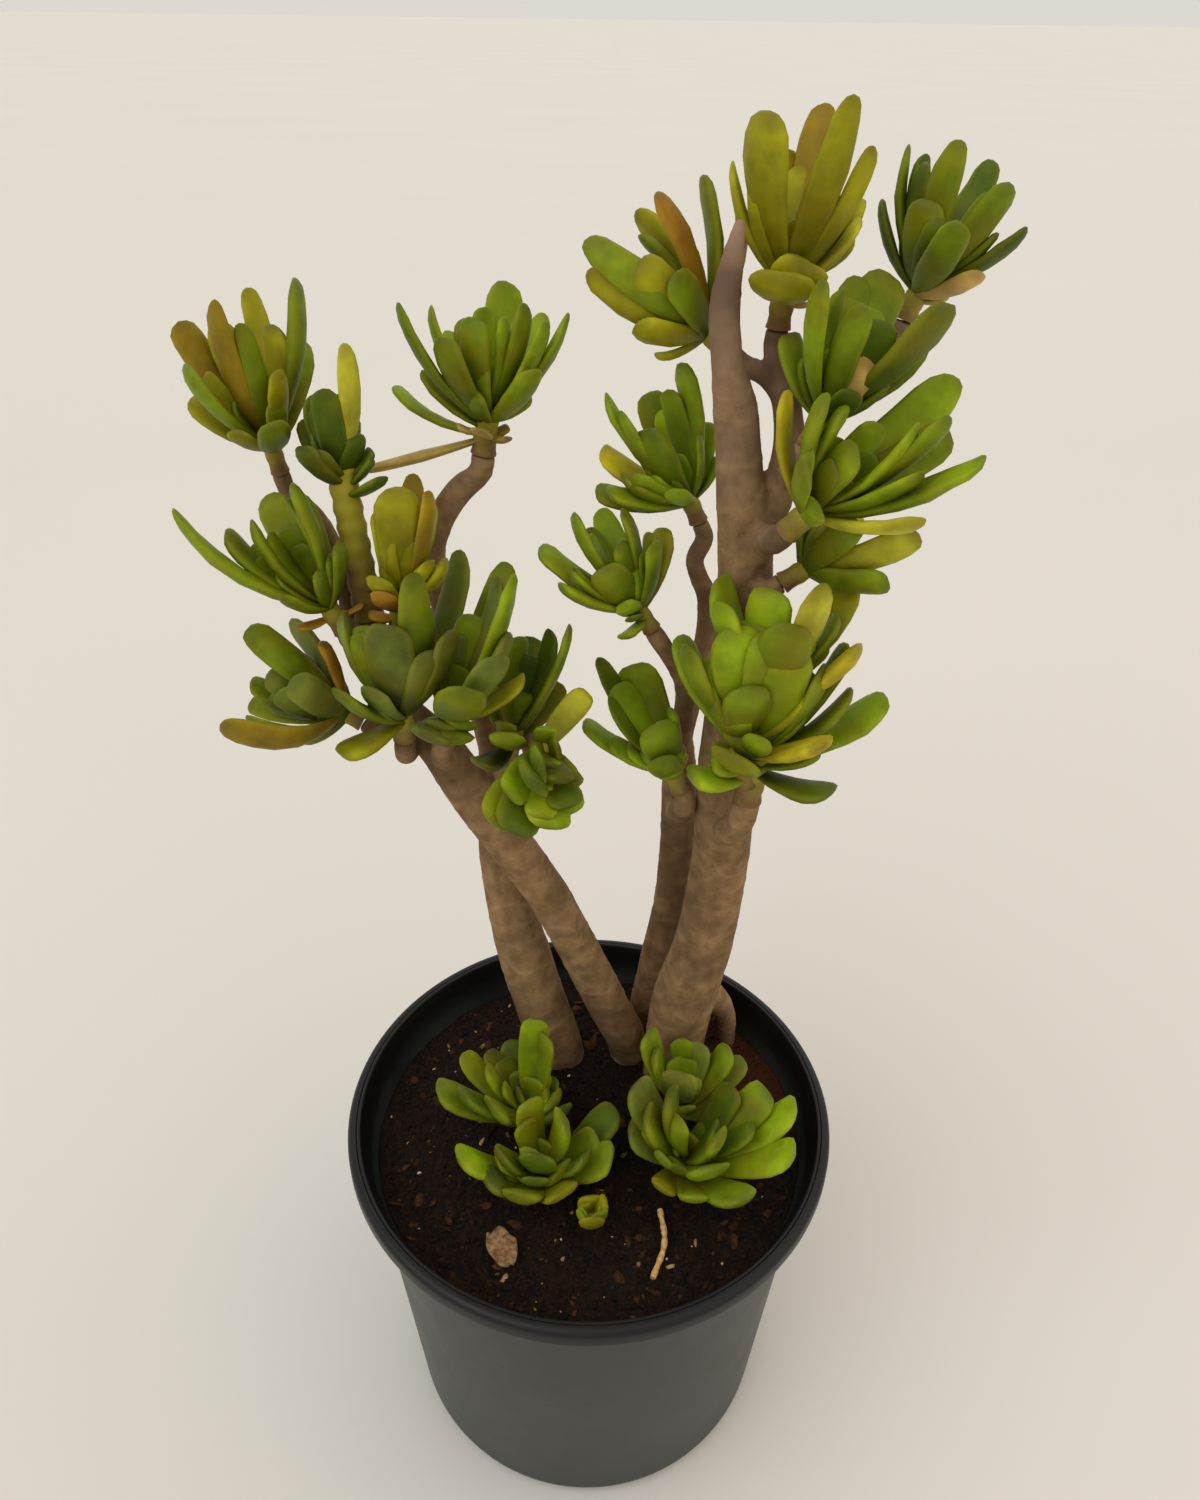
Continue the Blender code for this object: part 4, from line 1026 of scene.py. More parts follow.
@dataclass
class Foliage:
    """Every spray: green shoots with their leaves, drawn from three unit leaves by one geometry tree."""

    leaf_skin: bpy.types.Material
    shoot_skin: bpy.types.Material
    leaf_sides: int = 12
    shoot_sides: int = 12
    waviness: float = 0.6
    wave_length: float = 9.0
    thickness: float = 0.44
    hollow: float = 0.62
    thinning: float = 0.35
    slim_from: float = 3.8
    broad_from: float = 10.5
    twist: float = 14.0
    curls: tuple[float, float] = (-0.03, 0.04)
    lights: tuple[float, float] = (0.82, 1.18)
    knot_every: float = 5.0
    knot_depth: float = 0.07

    # Share of the length, width and thickness of a unit leaf, each from its root to its tip
    OUTLINES = {
        LeafShape.FINGER: ((0.0, 0.42, 0.6), (0.1, 0.54, 0.7), (0.25, 0.74, 0.85), (0.42, 0.9, 0.95),
                           (0.6, 0.98, 1.0), (0.76, 1.0, 1.0), (0.88, 0.94, 0.98), (0.95, 0.76, 0.86),
                           (0.985, 0.48, 0.55)),
        LeafShape.SPOON: ((0.0, 0.38, 0.6), (0.12, 0.5, 0.65), (0.28, 0.7, 0.75), (0.45, 0.9, 0.9),
                          (0.62, 1.04, 1.0), (0.77, 1.1, 1.0), (0.89, 1.02, 0.95), (0.955, 0.82, 0.8),
                          (0.988, 0.5, 0.5)),
        LeafShape.STRAP: ((0.0, 0.42, 0.6), (0.12, 0.58, 0.75), (0.3, 0.8, 0.9), (0.5, 0.95, 1.0),
                          (0.68, 1.0, 1.0), (0.82, 0.94, 0.95), (0.91, 0.8, 0.85), (0.965, 0.58, 0.66),
                          (0.99, 0.34, 0.4)),
    }
    # What the tree is told of each leaf, with the kind of attribute that holds it
    LEAF_FACTS = {"way": "FLOAT_VECTOR", "side": "FLOAT_VECTOR", "face": "FLOAT_VECTOR",
                  "size": "FLOAT_VECTOR", "bow": "FLOAT", "curl": "FLOAT", "shape": "INT",
                  "tint": "FLOAT_COLOR"}

    def unit_leaf(self, shape: LeafShape) -> bpy.types.Mesh:
        """A leaf one long up Z and one from its middle to its margin along X, flatter above than below.

        Args:
            shape: Which outline it has.

        Returns:
            The mesh, with how far along and across each point is in the attributes along and across.
        """
        made, rings = bmesh.new(), []
        turns = [2 * math.pi * i / self.leaf_sides for i in range(self.leaf_sides)]
        for share, width, depth in self.OUTLINES[shape]:
            rings.append([made.verts.new((
                math.cos(turn) * width,
                math.sin(turn) * depth * (self.hollow if math.sin(turn) > 0 else 1.0)
                * width ** self.thinning,
                share)) for turn in turns])
        foot = made.verts.new((0, 0, 0))
        tip = made.verts.new((0, 0, 1))
        for i in range(self.leaf_sides):
            j = (i + 1) % self.leaf_sides
            for low, high in zip(rings, rings[1:]):
                made.faces.new((low[i], low[j], high[j], high[i]))
            made.faces.new((foot, rings[0][j], rings[0][i]))
            made.faces.new((tip, rings[-1][i], rings[-1][j]))
        data = mesh_of(f"unit_leaf_{shape.value}", made)
        points = np.array([v.co for v in data.vertices])
        store(data, "along", points[:, 2])
        store(data, "across", np.abs(points[:, 0]) / np.maximum(np.hypot(points[:, 0], points[:, 1]), 1e-6))
        return data

    def shaper(self) -> Shaper:
        """The geometry tree that sets a bowed, roughened unit leaf on every point and adds the shoots."""
        tree = Shaper("spray", {
            "Leaf Shapes": ("Collection", None), "Shoot Lines": ("Object", None),
            "Waviness": ("Float", self.waviness * MM), "Wave Length": ("Float", self.wave_length),
            "Leaf Skin": ("Material", None), "Shoot Skin": ("Material", None)})
        add, given = tree.add, tree.given
        kinds = {**self.LEAF_FACTS, "along": "FLOAT", "girth": "FLOAT"}
        read = {name: add(STORED, {"Name": name}, data_type=kind) for name, kind in kinds.items()}
        along = read["along"]
        shapes = add("GeometryNodeCollectionInfo", {0: given["Leaf Shapes"], "Separate Children": True,
                                                    "Reset Children": True})
        turn = add("FunctionNodeAxesToRotation", (read["way"], read["side"]), primary_axis="Z",
                   secondary_axis="X")
        leaves = add("GeometryNodeInstanceOnPoints", {
            "Points": given["Geometry"], "Instance": shapes, "Pick Instance": True,
            "Instance Index": read["shape"], "Rotation": turn, "Scale": read["size"]})
        leaves = add("GeometryNodeRealizeInstances", (leaves,))
        # The bow is a parabola over the leaf's length, and the curl lifts its last third
        rest = add(MATH, (1.0, along), operation="SUBTRACT")
        arch = add(MATH, (along, rest), operation="MULTIPLY")
        bowed = add(MATH, (arch, read["bow"]), operation="MULTIPLY")
        bulge = add(MATH, (bowed, -4.0), operation="MULTIPLY")
        late = add(MATH, (along, 3.0), operation="POWER")
        curled = add(MATH, (late, read["curl"], bulge), operation="MULTIPLY_ADD")
        length = add("ShaderNodeSeparateXYZ", (read["size"],), out="Z")
        lift = add(MATH, (curled, length), operation="MULTIPLY")
        bend = add(VECTOR, {0: read["face"], "Scale": lift}, operation="SCALE")
        leaves = add(SET_POSITION, {0: leaves, "Offset": bend})
        # The waviness grows from the root to the tip
        spread = add(VECTOR, {0: tree.place, "Scale": 1 / MM}, operation="SCALE")
        finer = add(MATH, (1.0, given["Wave Length"]), operation="DIVIDE")
        wave = add(NOISE, {"Vector": spread, "Scale": finer, "Detail": 2.0}, out="Color")
        centred = add(VECTOR, (wave, (0.5, 0.5, 0.5)), operation="SUBTRACT")
        ragged = add(MATH, (along, given["Waviness"]), operation="MULTIPLY")
        ragged = add(MATH, (ragged, 4.0), operation="MULTIPLY")
        offset = add(VECTOR, {0: centred, "Scale": ragged}, operation="SCALE")
        leaves = add(SET_POSITION, {0: leaves, "Offset": offset})
        leaves = add(SET_MATERIAL, {0: leaves, "Material": given["Leaf Skin"]})
        lines = add("GeometryNodeObjectInfo", (given["Shoot Lines"],), out="Geometry")
        shoots = add("GeometryNodeMeshToCurve", (lines,))
        shoots = add("GeometryNodeSetCurveRadius", {0: shoots, "Radius": read["girth"]})
        ring = add("GeometryNodeCurvePrimitiveCircle", {"Resolution": self.shoot_sides, "Radius": 1.0})
        shoots = add("GeometryNodeCurveToMesh", {0: shoots, 1: ring, "Fill Caps": True,
                                                 "Scale": read["girth"]})
        shoots = add(SET_MATERIAL, {0: shoots, "Material": given["Shoot Skin"]})
        both = add("GeometryNodeJoinGeometry", (leaves,))
        tree.feed(both.node, (shoots,))
        return tree.close(add("GeometryNodeSetShadeSmooth", (both,)))

    def shoot_line(self, shoot: Shoot) -> list[Vector]:
        """The line of a shoot: straight, a little knotted, with a domed crown."""
        foot, crown, way = shoot_axis(shoot)
        count = max(4, round(shoot.length / 1.5))
        line = []
        for i in range(count + 1):
            knot = 1 + self.knot_depth * math.cos(2 * math.pi * i * shoot.length / count / self.knot_every)
            line.append(Vector((*foot.lerp(crown, i / count), shoot.radius * (1 - 0.1 * i / count) * knot)))
        # The dome, as shares of the radius: how far past the crown, and how wide there
        for up, wide in ((0.3, 0.8), (0.5, 0.55), (0.6, 0.2)):
            line.append(Vector((*(crown + way * shoot.radius * up), shoot.radius * wide)))
        return line

    def leaf_points(self, name: str, leaves: list[Leaf]) -> bpy.types.Object:
        """An object with one bare vertex for each leaf, which holds what the tree needs to know of it."""
        draw = random.Random(name + "looks")
        data = bpy.data.meshes.new(f"leaves_{name}")
        data.from_pydata([leaf.root * MM for leaf in leaves], [], [])
        rows = []
        for leaf in leaves:
            twist = Matrix.Rotation(math.radians(draw.uniform(-self.twist, self.twist)), 3, leaf.way)
            slim, broad = leaf.length > self.slim_from * leaf.width, leaf.width > self.broad_from
            shape = LeafShape.STRAP if slim else LeafShape.SPOON if broad else LeafShape.FINGER
            half = leaf.width / 2 * MM
            curl, light = draw.uniform(*self.curls), draw.uniform(*self.lights)
            rows.append((leaf.way, twist @ leaf.side, twist @ leaf.face,
                         (half, half * self.thickness, leaf.length * MM), leaf.bow, curl, shape.value,
                         [c * light for c in linear(leaf.tint.value)[:3]] + [1.0]))
        for (label, kind), values in zip(self.LEAF_FACTS.items(), zip(*rows)):
            store(data, label, values, kind)
        return add_object(f"leaves_{name}", data)

    def build(self, grown: dict[str, list[Leaf]]) -> None:
        """Builds one piece for each spray."""
        unit_leaves = helpers("unit_leaves", [self.unit_leaf(shape) for shape in LeafShape])
        tree = self.shaper()
        for name in SHOOTS:
            members = [other for other in SHOOTS if spray_of(other) == name]
            if not members:
                continue
            lines = line_object(f"lines_{name}", [self.shoot_line(SHOOTS[member]) for member in members])
            piece = self.leaf_points(name, [leaf for member in members for leaf in grown[member]])
            tree.run(piece, leaf_shapes=unit_leaves, shoot_lines=lines, leaf_skin=self.leaf_skin,
                     shoot_skin=self.shoot_skin)
            bpy.data.objects.remove(lines)
            finish_piece(piece, "jade_leaf", f"spray_{name}")
        discard(unit_leaves)


def tube_shaper() -> Shaper:
    """The geometry tree that draws a tube round every line, as thick as its girth."""
    tree = Shaper("limb tubes", {"Sides": ("Int", 20), "Skin": ("Material", None)})
    girth = tree.add(STORED, {"Name": "girth"}, data_type="FLOAT")
    curves = tree.add("GeometryNodeMeshToCurve", (tree.given["Geometry"],))
    ring = tree.add("GeometryNodeCurvePrimitiveCircle", {"Resolution": tree.given["Sides"], "Radius": 1.0})
    tubes = tree.add("GeometryNodeCurveToMesh", {0: curves, 1: ring, "Fill Caps": True, "Scale": girth})
    return tree.close(tubes, "Skin")


@dataclass
class Wood:
    """The four stems with their twigs: tubes grown into one skin, with rings and cracks in the bark."""

    bark: bpy.types.Material
    voxel: float = 0.85
    relax: int = 5
    ring_spacing: float = 12.0
    ring_depth: float = 0.16
    ring_sharpness: float = 5.0
    ring_drift: float = 3.2
    drift_mm: float = 1000 / 60
    wrinkle_depth: float = 0.7
    wrinkle_mm: float = 1000 / 90

    def relief_shaper(self) -> Shaper:
        """The geometry tree that raises rings along each limb and roughens the bark."""
        tree = Shaper("bark relief", {
            "Ring Spacing": ("Float", self.ring_spacing * MM), "Ring Depth": ("Float", self.ring_depth * MM),
            "Wrinkle Depth": ("Float", self.wrinkle_depth * MM), "Bark": ("Material", None)})
        add, given = tree.add, tree.given
        along = add(STORED, {"Name": "along"}, data_type="FLOAT")
        drift = add(NOISE, {"Vector": tree.place, "Scale": 1 / (self.drift_mm * MM), "Detail": 1.0})
        turns = add(MATH, (along, given["Ring Spacing"]), operation="DIVIDE")
        wobble = add(MATH, (drift, self.ring_drift, turns), operation="MULTIPLY_ADD")
        phase = add(MATH, (wobble, 2 * math.pi), operation="MULTIPLY")
        wave = add(MATH, (phase,), operation="COSINE")
        positive = add(MATH, (wave, 0.0), operation="MAXIMUM")
        ridge = add(MATH, (positive, self.ring_sharpness), operation="POWER")
        raised = add(MATH, (ridge, given["Ring Depth"]), operation="MULTIPLY")
        rough = add(NOISE, {"Vector": tree.place, "Scale": 1 / (self.wrinkle_mm * MM), "Detail": 4.0})
        level = add(MATH, (rough, 0.5), operation="SUBTRACT")
        wrinkle = add(MATH, (level, given["Wrinkle Depth"], raised), operation="MULTIPLY_ADD")
        out = add("GeometryNodeInputNormal")
        offset = add(VECTOR, {0: out, "Scale": wrinkle}, operation="SCALE")
        noted = add("GeometryNodeStoreNamedAttribute", {
            0: given["Geometry"], "Name": "relief", "Value": ridge}, data_type="FLOAT")
        moved = add(SET_POSITION, {0: noted, "Offset": offset})
        return tree.close(add("GeometryNodeSetShadeSmooth", (moved,)), "Bark")

    def grow_together(self, thing: bpy.types.Object) -> None:
        """Makes one even skin of overlapping tubes."""
        skin = thing.modifiers.new("skin", "REMESH")
        skin.mode = "VOXEL"
        skin.voxel_size = self.voxel * MM
        relax = thing.modifiers.new("relax", "SMOOTH")
        relax.factor = 0.5
        relax.iterations = self.relax
        plain(thing)

    def note_along(self, thing: bpy.types.Object, lines: list[list[Vector]]) -> None:
        """Stores how far along its own limb each point of the skin lies, in the attribute along."""
        samples = []
        for line in lines:
            far = 0.0
            for i, point in enumerate(line):
                far += (point.xyz - line[i - 1].xyz).length if i else 0.0
                samples.append((point.xyz * MM, far * MM))
        tree = KDTree(len(samples))
        for i, (point, _) in enumerate(samples):
            tree.insert(point, i)
        tree.balance()
        store(thing.data, "along", [samples[tree.find(v.co)[1]][1] for v in thing.data.vertices])

    def build(self) -> None:
        """Builds one piece for each stem."""
        tubes, relief = tube_shaper(), self.relief_shaper()
        for name, stem in STEMS.items():
            lines = stem_lines(stem, 2.0)
            piece = line_object(name.replace("stem", "bark"), lines)
            tubes.run(piece, skin=self.bark)
            self.grow_together(piece)
            self.note_along(piece, [smooth(list(map(tuple, line)), 0.5) for line in lines])
            relief.run(piece, bark=self.bark)
            finish_piece(piece, "bark", name)


@dataclass
class Pot:
    """The nursery pot: a thin moulded shell with a rolled lip, a stacking collar and drain holes."""

    plastic: bpy.types.Material
    steps: int = 128
    channel: tuple[float, float, float] = (36.0, 52.0, 2.0)
    drain_r: float = 5.0
    drains: int = 6
    sharp: float = 40.0

    def arc(self, centre: tuple[float, float], radius: float, start: float, end: float,
            count: int) -> list[tuple[float, float]]:
        """Points of an arc in (r, z), from one angle in degrees to another."""
        turns = [math.radians(start + (end - start) * i / count) for i in range(count + 1)]
        return [(centre[0] + radius * math.cos(t), centre[1] + radius * math.sin(t)) for t in turns]

    def profile(self) -> list[tuple[float, float]]:
        """The wall's outline in (r, z), from the middle of the floor inside, over the lip, to the underside.

        The steps off the named sizes are in millimetres too.
        """
        inner, outer, rise = self.channel
        wall, foot, top = POT_WALL, POT_BASE_R - POT_CORNER, POT_HEIGHT
        floor = [(0, wall), (inner - 1, wall), (inner + 1, wall + rise), (outer - 1, wall + rise),
                 (outer + 1, wall)]
        rim = [(POT_BODY_TOP_R - wall, POT_COLLAR_Z - 1.2), (POT_COLLAR_R - wall, POT_COLLAR_Z + 1),
               (POT_COLLAR_R - wall, POT_FLARE_Z), (POT_LIP_R - 0.7, top - 1.4)]
        groove = [(POT_LIP_R + 0.7, top - 0.05), (POT_LIP_R + 0.9, top - 0.35), (POT_LIP_R + 1.1, top - 0.05)]
        collar = [(POT_RIM_R - 1.6, top - 5.9), (POT_COLLAR_R + 0.8, top - 5.0), (POT_COLLAR_R, top - 5.6),
                  (POT_COLLAR_R, POT_COLLAR_Z + 1), (POT_BODY_TOP_R, POT_COLLAR_Z - 1.2)]
        underside = [(outer, 0), (outer - 2, rise), (inner + 2, rise), (inner, 0), (0, 0)]
        return [*floor, *self.arc((foot, POT_CORNER), POT_CORNER - wall, -90, 0, 6),
                *rim, *self.arc((POT_LIP_R + 0.3, top - 0.8), 0.8, 160, 90, 4),
                *groove, *self.arc((POT_RIM_R - 2.2, top - 2.2), 2.2, 90, 0, 6),
                (POT_RIM_R, top - 5.4), *self.arc((POT_RIM_R - 0.8, top - 5.4), 0.8, 0, -90, 3),
                *collar, *self.arc((foot, POT_CORNER), POT_CORNER, 0, -90, 8), *underside]

    def drill(self, number: int) -> bpy.types.Mesh:
        """What one drain hole is cut with."""
        way = direction(360 * number / self.drains, 0) * (self.channel[0] + self.channel[1]) / 2
        shape = bmesh.new()
        bmesh.ops.create_cone(shape, cap_ends=True, segments=28, radius1=self.drain_r * MM,
                              radius2=self.drain_r * MM, depth=12 * MM)
        bmesh.ops.translate(shape, vec=way * MM, verts=shape.verts)
        return mesh_of(f"drill_{number}", shape)

    def build(self) -> None:
        """Turns the profile and drills the drain holes."""
        shape = bmesh.new()
        points = [shape.verts.new((r * MM, 0, z * MM)) for r, z in self.profile()]
        edges = [shape.edges.new(pair) for pair in zip(points, points[1:])]
        bmesh.ops.spin(shape, geom=[*points, *edges], cent=(0, 0, 0), axis=(0, 0, 1), angle=2 * math.pi,
                       steps=self.steps, use_merge=True)
        bmesh.ops.remove_doubles(shape, verts=shape.verts, dist=0.02 * MM)
        bmesh.ops.recalc_face_normals(shape, faces=shape.faces)
        pot = add_object("pot_shell", mesh_of("pot_shell", shape))
        drills = helpers("drills", [self.drill(number) for number in range(self.drains)])
        cut = pot.modifiers.new("drains", "BOOLEAN")
        cut.operation = "DIFFERENCE"
        cut.operand_type = "COLLECTION"
        cut.collection = drills
        plain(pot)
        discard(drills)
        pot.data.materials.clear()
        pot.data.materials.append(self.plastic)
        pot.data.set_sharp_from_angle(angle=math.radians(self.sharp))
        finish_piece(pot, "pot_plastic", "pot")


@dataclass(frozen=True)
class Scatter:
    """One kind of loose bit on the soil: how many, how large and what colour."""

    name: str
    count: int
    low: float
    high: float
    flat: float
    first: str
    second: str
    seed: int


@dataclass
class SoilBed:
    """The potting mix: a lumpy bed, with crumbs, bark chips and grains of perlite strewn over it."""

    mix: bpy.types.Material
    crumb: bpy.types.Material
    rings: int = 90
    steps: int = 220
    lump: float = 1.3
    lumps_per_metre: float = 170.0
    lump_roughness: float = 0.72
    lump_gain: float = 2.4
    bed_floor: float = 6.0
    bed_gap: float = 0.2
    floor_gap: float = 1.0
    top_from: float = 100.0
    strewn_from: float = 110.0
    smallness: float = 2.5
    tilt: float = 0.7
    spin: float = 6.283
    kinds: tuple[Scatter, ...] = (
        Scatter("soil_crumbs", 5200, 0.5, 2.4, 0.7, "#0e0a07", "#291b12", 1),
        Scatter("soil_bark_chips", 420, 1.2, 4.6, 0.35, "#24140b", "#4c2f1a", 2),
        Scatter("soil_pale_chips", 60, 0.8, 2.6, 0.5, "#7d5f3a", "#c2a173", 3),
        Scatter("soil_perlite", 30, 0.5, 1.2, 0.8, "#b9b2a4", "#ddd7c8", 4),
        Scatter("soil_leaf_bits", 26, 0.9, 3.0, 0.4, "#4a4a16", "#86793a", 5),
    )

    def ring(self, shape: bmesh.types.BMesh, r: float, z: float | None = None) -> list[bmesh.types.BMVert]:
        """A ring of points of the bed at a radius, at a height or else on the soil's surface."""
        turns = [2 * math.pi * j / self.steps for j in range(self.steps)]
        spots = [(r * math.cos(turn), r * math.sin(turn)) for turn in turns]
        return [shape.verts.new((x * MM, y * MM, (soil_height(x, y) if z is None else z) * MM))
                for x, y in spots]

    def bed(self) -> bpy.types.Object:
        """The bed, closed below."""
        edge = POT_BODY_TOP_R - POT_WALL - self.bed_gap
        shape = bmesh.new()
        rows = [self.ring(shape, edge * i / self.rings) for i in range(1, self.rings + 1)]
        middle = shape.verts.new((0, 0, soil_height(0, 0) * MM))
        rows.append(self.ring(shape, POT_BASE_R - POT_WALL - self.floor_gap, self.bed_floor))
        bottom = shape.verts.new((0, 0, self.bed_floor * MM))
        for j in range(self.steps):
            k = (j + 1) % self.steps
            shape.faces.new((middle, rows[0][j], rows[0][k]))
            for inner, outer in zip(rows, rows[1:]):
                shape.faces.new((inner[j], outer[j], outer[k], inner[k]))
            shape.faces.new((bottom, rows[-1][k], rows[-1][j]))
        return add_object("soil_bed", mesh_of("soil_bed", shape))

    def lump_shaper(self) -> Shaper:
        """The geometry tree that raises lumps on the top of the bed."""
        tree = Shaper("soil lumps", {"Lump Height": ("Float", self.lump * MM), "Mix": ("Material", None)})
        add, given = tree.add, tree.given
        height = add("ShaderNodeSeparateXYZ", (tree.place,), out="Z")
        top = add("FunctionNodeCompare", (height, self.top_from * MM), data_type="FLOAT",
                  operation="GREATER_THAN")
        coarse = add(NOISE, {"Vector": tree.place, "Scale": self.lumps_per_metre, "Detail": 6.0,
                             "Roughness": self.lump_roughness})
        level = add(MATH, (coarse, 0.5), operation="SUBTRACT")
        steeper = add(MATH, (level, self.lump_gain), operation="MULTIPLY")
        rise = add(MATH, (steeper, given["Lump Height"]), operation="MULTIPLY")
        up = add("ShaderNodeCombineXYZ", {"Z": rise})
        return tree.close(add(SET_POSITION, {0: given["Geometry"], "Selection": top, "Offset": up}), "Mix")

    def scatter_shaper(self) -> Shaper:
        """The geometry tree that strews one kind of bit over the top of the bed."""
        tree = Shaper("strewn bits", {
            "Bits": ("Collection", None), "Density": ("Float", 1000.0), "Smallest": ("Float", 0.5 * MM),
            "Largest": ("Float", 2 * MM), "Flatness": ("Float", 0.7), "First Colour": ("Color", (0, 0, 0, 1)),
            "Second Colour": ("Color", (1, 1, 1, 1)), "Seed": ("Int", 0), "Reach": ("Float", 0.069),
            "Crumb": ("Material", None)})
        add, given = tree.add, tree.given
        height = add("ShaderNodeSeparateXYZ", (tree.place,), out="Z")
        level = add(VECTOR, (tree.place, (1.0, 1.0, 0.0)), operation="MULTIPLY")
        out = add(VECTOR, (level,), out="Value", operation="LENGTH")
        inside = add("FunctionNodeCompare", (out, given["Reach"]), data_type="FLOAT", operation="LESS_THAN")
        high = add("FunctionNodeCompare", (height, self.strewn_from * MM), data_type="FLOAT",
                   operation="GREATER_THAN")
        top = add("FunctionNodeBooleanMath", (inside, high), operation="AND")
        strewn = add("GeometryNodeDistributePointsOnFaces", {
            "Mesh": given["Geometry"], "Selection": top, "Density": given["Density"], "Seed": given["Seed"]},
            distribute_method="RANDOM")
        bulk, mix = (add("FunctionNodeRandomValue", {"Seed": seed}, out=1, data_type="FLOAT")
                     for seed in (11, 12))
        small = add(MATH, (bulk, self.smallness), operation="POWER")
        size = add(RANGE, {"Value": small, "To Min": given["Smallest"], "To Max": given["Largest"]})
        low = add(MATH, (size, given["Flatness"]), operation="MULTIPLY")
        scale = add("ShaderNodeCombineXYZ", (size, size, low))
        turn = add("FunctionNodeRandomValue", {
            0: (-self.tilt, -self.tilt, 0.0), 1: (self.tilt, self.tilt, self.spin), "Seed": 13},
            data_type="FLOAT_VECTOR")
        bits = add("GeometryNodeCollectionInfo", {0: given["Bits"], "Separate Children": True,
                                                  "Reset Children": True})
        bits = add("GeometryNodeInstanceOnPoints", {"Points": strewn, "Instance": bits, "Pick Instance": True,
                                                    "Rotation": turn, "Scale": scale})
        colour = add(MIX, {0: mix, 6: given["First Colour"], 7: given["Second Colour"]}, out=2,
                     data_type="RGBA")
        tinted = add("GeometryNodeStoreNamedAttribute", {0: bits, "Name": "tint", "Value": colour},
                     data_type="FLOAT_COLOR", domain="INSTANCE")
        return tree.close(tinted, "Crumb")

    def unit_bits(self) -> bpy.types.Collection:
        """Three angular crumbs about one across."""
        draw, meshes = random.Random(SEED), []
        for i in range(3):
            shape = bmesh.new()
            bmesh.ops.create_icosphere(shape, subdivisions=1, radius=0.5)
            for vert in shape.verts:
                vert.co *= draw.uniform(0.7, 1.25)
                vert.co.x *= 1 + 0.5 * i
            meshes.append(mesh_of(f"unit_bit_{i}", shape))
        return helpers("unit_bits", meshes)

    def build(self) -> None:
        """Builds the bed and strews every kind of bit."""
        bed = self.bed()
        self.lump_shaper().run(bed, mix=self.mix)
        finish_piece(bed, "potting_mix", "soil")
        bits, tree = self.unit_bits(), self.scatter_shaper()
        area = math.pi * ((POT_BODY_TOP_R - POT_WALL) * MM) ** 2
        for kind in self.kinds:
            piece = add_object(kind.name, bed.data.copy())
            piece.data.materials.clear()
            tree.run(piece, bits=bits, density=kind.count / area, smallest=kind.low * MM,
                     largest=kind.high * MM, flatness=kind.flat, first_colour=linear(kind.first),
                     second_colour=linear(kind.second), seed=kind.seed, crumb=self.crumb)
            finish_piece(piece, "potting_mix")
        discard(bits)


@dataclass
class Litter:
    """The dry leaf and the dry stalk that lie on the soil."""

    dry_leaf: bpy.types.Material
    straw: bpy.types.Material
    straw_sides: int = 10
    across: int = 12
    along: int = 18
    lift: float = 1.6
    thickness: float = 0.7
    # How far the stalk's knots stand out, as a share of its radius, and the dry leaf's waves, cup and twist
    knot: float = 0.18
    wave: float = 0.7
    cup: float = 0.9
    twist: float = 0.5

    def build_stalk(self) -> None:
        """Builds the stalk."""
        line = [Vector((*p.xyz, p.w * (1 + self.knot * math.sin(i * 1.9))))
                for i, p in enumerate(straw_line(1.5))]
        stalk = line_object("dry_stalk", [line])
        tube_shaper().run(stalk, sides=self.straw_sides, skin=self.straw)
        stalk.data.polygons.foreach_set("use_smooth", [True] * len(stalk.data.polygons))
        finish_piece(stalk, "straw", "fallen_stalk")

    def build_leaf(self) -> None:
        """Builds the leaf: a thin ruffled blade, blunt at its foot, that lies clear of the soil."""
        (x, y), heading, length, width = DRY_LEAF
        way = direction(heading, 0)
        side = Vector((0, 0, 1)).cross(way)
        root = Vector((x, y, 0))
        highest = max(soil_height(*(root + way * length * i / 8).xy) for i in range(9))
        shape, rows = bmesh.new(), []
        for i in range(self.along + 1):
            s = i / self.along
            half = width / 2 * math.sin(math.pi * min(1.0, 0.08 + 0.9 * s)) ** 0.55
            row = []
            for j in range(self.across + 1):
                u = 2 * j / self.across - 1
                ruffle = (self.wave * math.sin(8 * s + 3 * u) + self.cup * u * u
                          + self.twist * math.sin(17 * s) * u)
                point = root + way * length * s + side * half * u
                row.append(shape.verts.new((*(point.xy * MM), (highest + self.lift + ruffle) * MM)))
            rows.append(row)
        for low, high in zip(rows, rows[1:]):
            for j in range(self.across):
                shape.faces.new((low[j], low[j + 1], high[j + 1], high[j]))
        bmesh.ops.recalc_face_normals(shape, faces=shape.faces)
        flake = add_object("dry_leaf_flake", mesh_of("dry_leaf_flake", shape))
        thick = flake.modifiers.new("thickness", "SOLIDIFY")
        thick.thickness = self.thickness * MM
        thick.offset = 0
        plain(flake)
        flake.data.materials.append(self.dry_leaf)
        finish_piece(flake, "dry_leaf", "fallen_leaf")


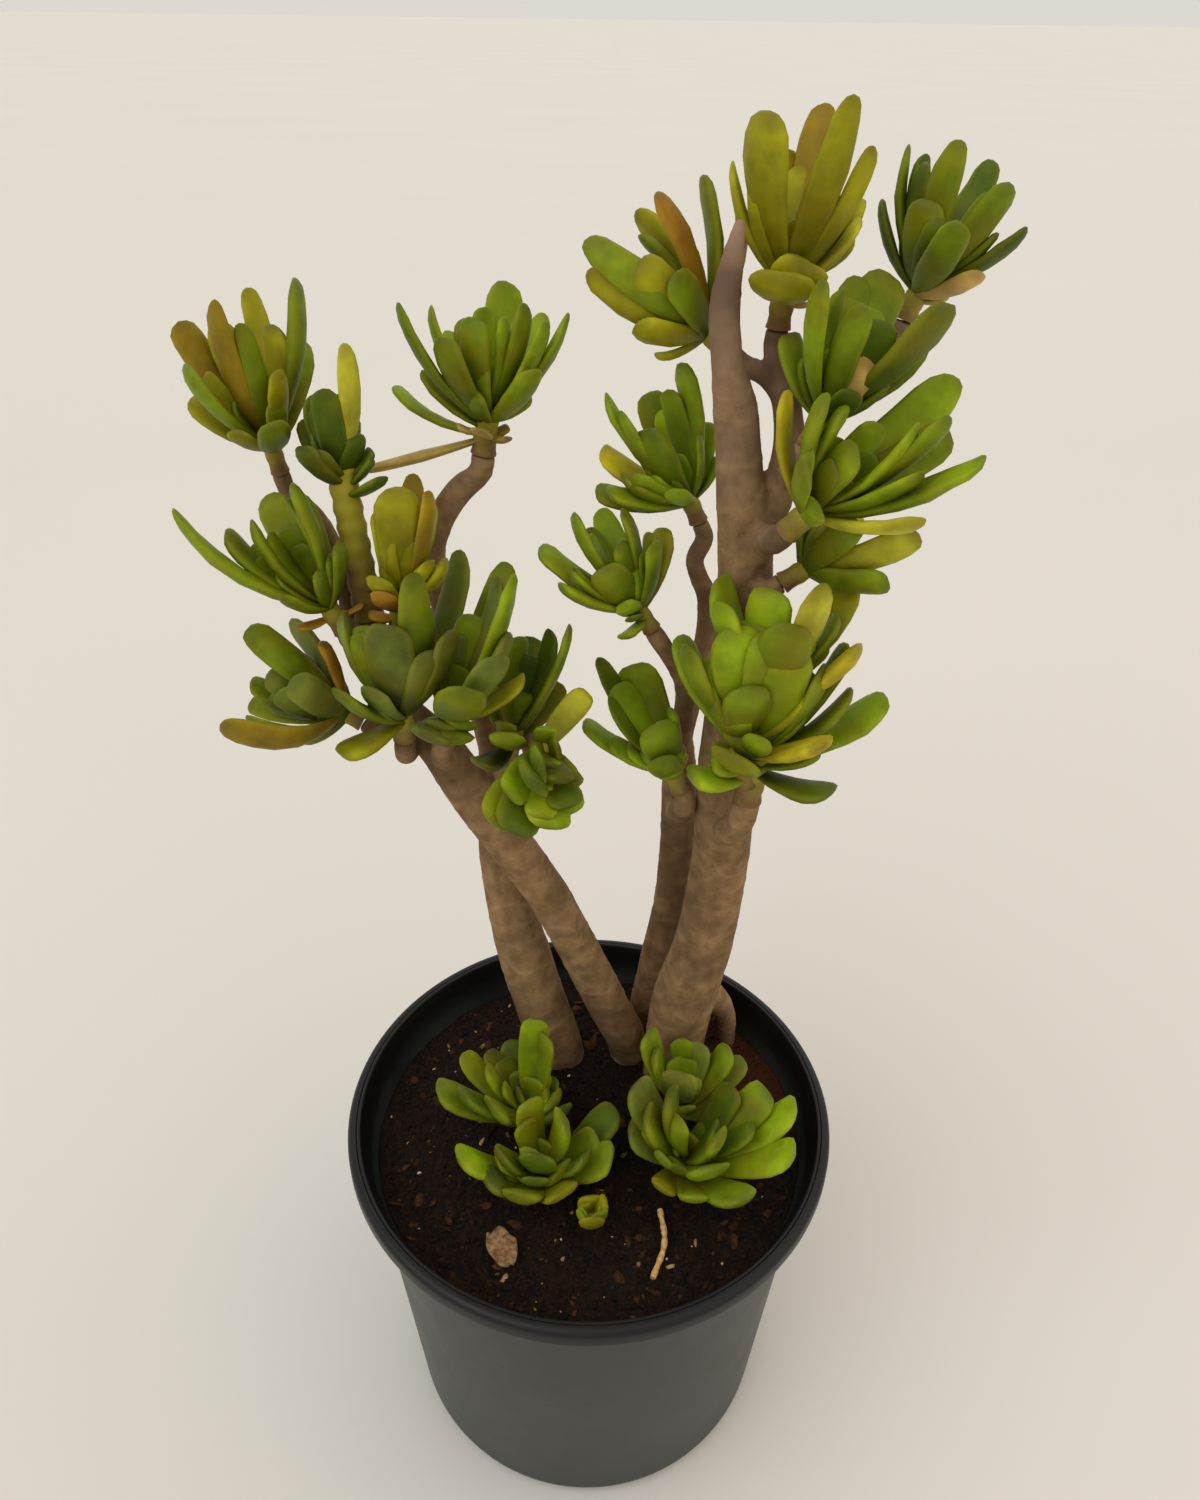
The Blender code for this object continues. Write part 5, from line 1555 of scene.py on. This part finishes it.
@dataclass
class Studio:
    """The pale floor, the soft lights and the camera."""

    floor_colour: str = "#d7d4cd"
    floor_size: float = 60.0
    floor_cloud_mm: float = 1000 / 1.5
    sky_colour: str = "#f6f2ea"
    sky_strength: float = 0.78
    camera_at: tuple[float, float, float] = (0.002, -0.251, 0.437)
    camera_down: float = 33.4
    camera_roll: float = 0.77
    lens: float = 27.02
    # Each light's name, where it shines from, its spread in degrees, its strength and its colour
    lights: tuple[tuple[str, tuple[float, float, float], float, float, str], ...] = (
        ("window", (-0.8, -0.7, 1.3), 50, 0.95, "#f7faff"),
        ("room", (1.2, -0.4, 1.2), 70, 0.5, "#ffead2"),
        ("back", (0.2, 1.2, 1.3), 60, 0.3, "#f6f4ef"),
    )

    def build_floor(self) -> None:
        """Builds the floor."""
        shape = bmesh.new()
        bmesh.ops.create_grid(shape, x_segments=1, y_segments=1, size=self.floor_size)
        floor = add_object("floor", mesh_of("floor", shape))
        skin = Skin("matt pale floor", self.floor_cloud_mm, 2.0)
        shade = skin.add(RANGE, {"Value": skin.grain, "To Min": 0.96, "To Max": 1.03})
        colour = skin.add("ShaderNodeHueSaturation", {"Color": linear(self.floor_colour), "Value": shade})
        skin.feed(skin.shader, {"Base Color": colour, "Roughness": 0.7})
        floor.data.materials.append(skin.material)

    def build(self) -> None:
        """Builds everything and makes the camera the scene's."""
        self.build_floor()
        for name, at, spread, power, colour in self.lights:
            lamp = bpy.data.lights.new(name, "SUN")
            lamp.angle = math.radians(spread)
            lamp.energy = power
            lamp.color = linear(colour)[:3]
            light = add_object(name, lamp)
            light.location = at
            light.rotation_euler = (-Vector(at)).to_track_quat("-Z", "Y").to_euler()
        world = bpy.data.worlds.new("soft_room")
        world.use_nodes = True
        sky = world.node_tree.nodes["Background"]
        sky.inputs["Color"].default_value = linear(self.sky_colour)
        sky.inputs["Strength"].default_value = self.sky_strength
        lens = bpy.data.cameras.new("camera")
        lens.lens = self.lens
        lens.sensor_width = lens.sensor_height = 36
        lens.clip_start = 0.01
        camera = add_object("camera", lens)
        camera.matrix_world = (Matrix.Translation(self.camera_at)
                               @ Euler((math.radians(90 - self.camera_down), 0, 0)).to_matrix().to_4x4()
                               @ Matrix.Rotation(math.radians(self.camera_roll), 4, "Z"))
        scene = bpy.context.scene
        scene.world = world
        scene.camera = camera
        scene.view_settings.view_transform = "Standard"


def main() -> None:
    """Builds and dresses the plant, then the studio."""
    logging.basicConfig(level=logging.INFO, format="%(message)s")
    Pot(PotPlastic().make()).build()
    SoilBed(PottingMix().make(), Crumb().make()).build()
    Wood(JadeBark().make()).build()
    Foliage(JadeLeaf().make(), GreenShoot().make()).build(Crown().grow())
    litter = Litter(DryTissue("papery dead leaf", "#a58560", "#5f4227").make(),
                    DryTissue("dry straw", "#e0bf80", "#b0843f").make())
    litter.build_stalk()
    litter.build_leaf()
    Studio().build()


if __name__ == "__main__":
    main()
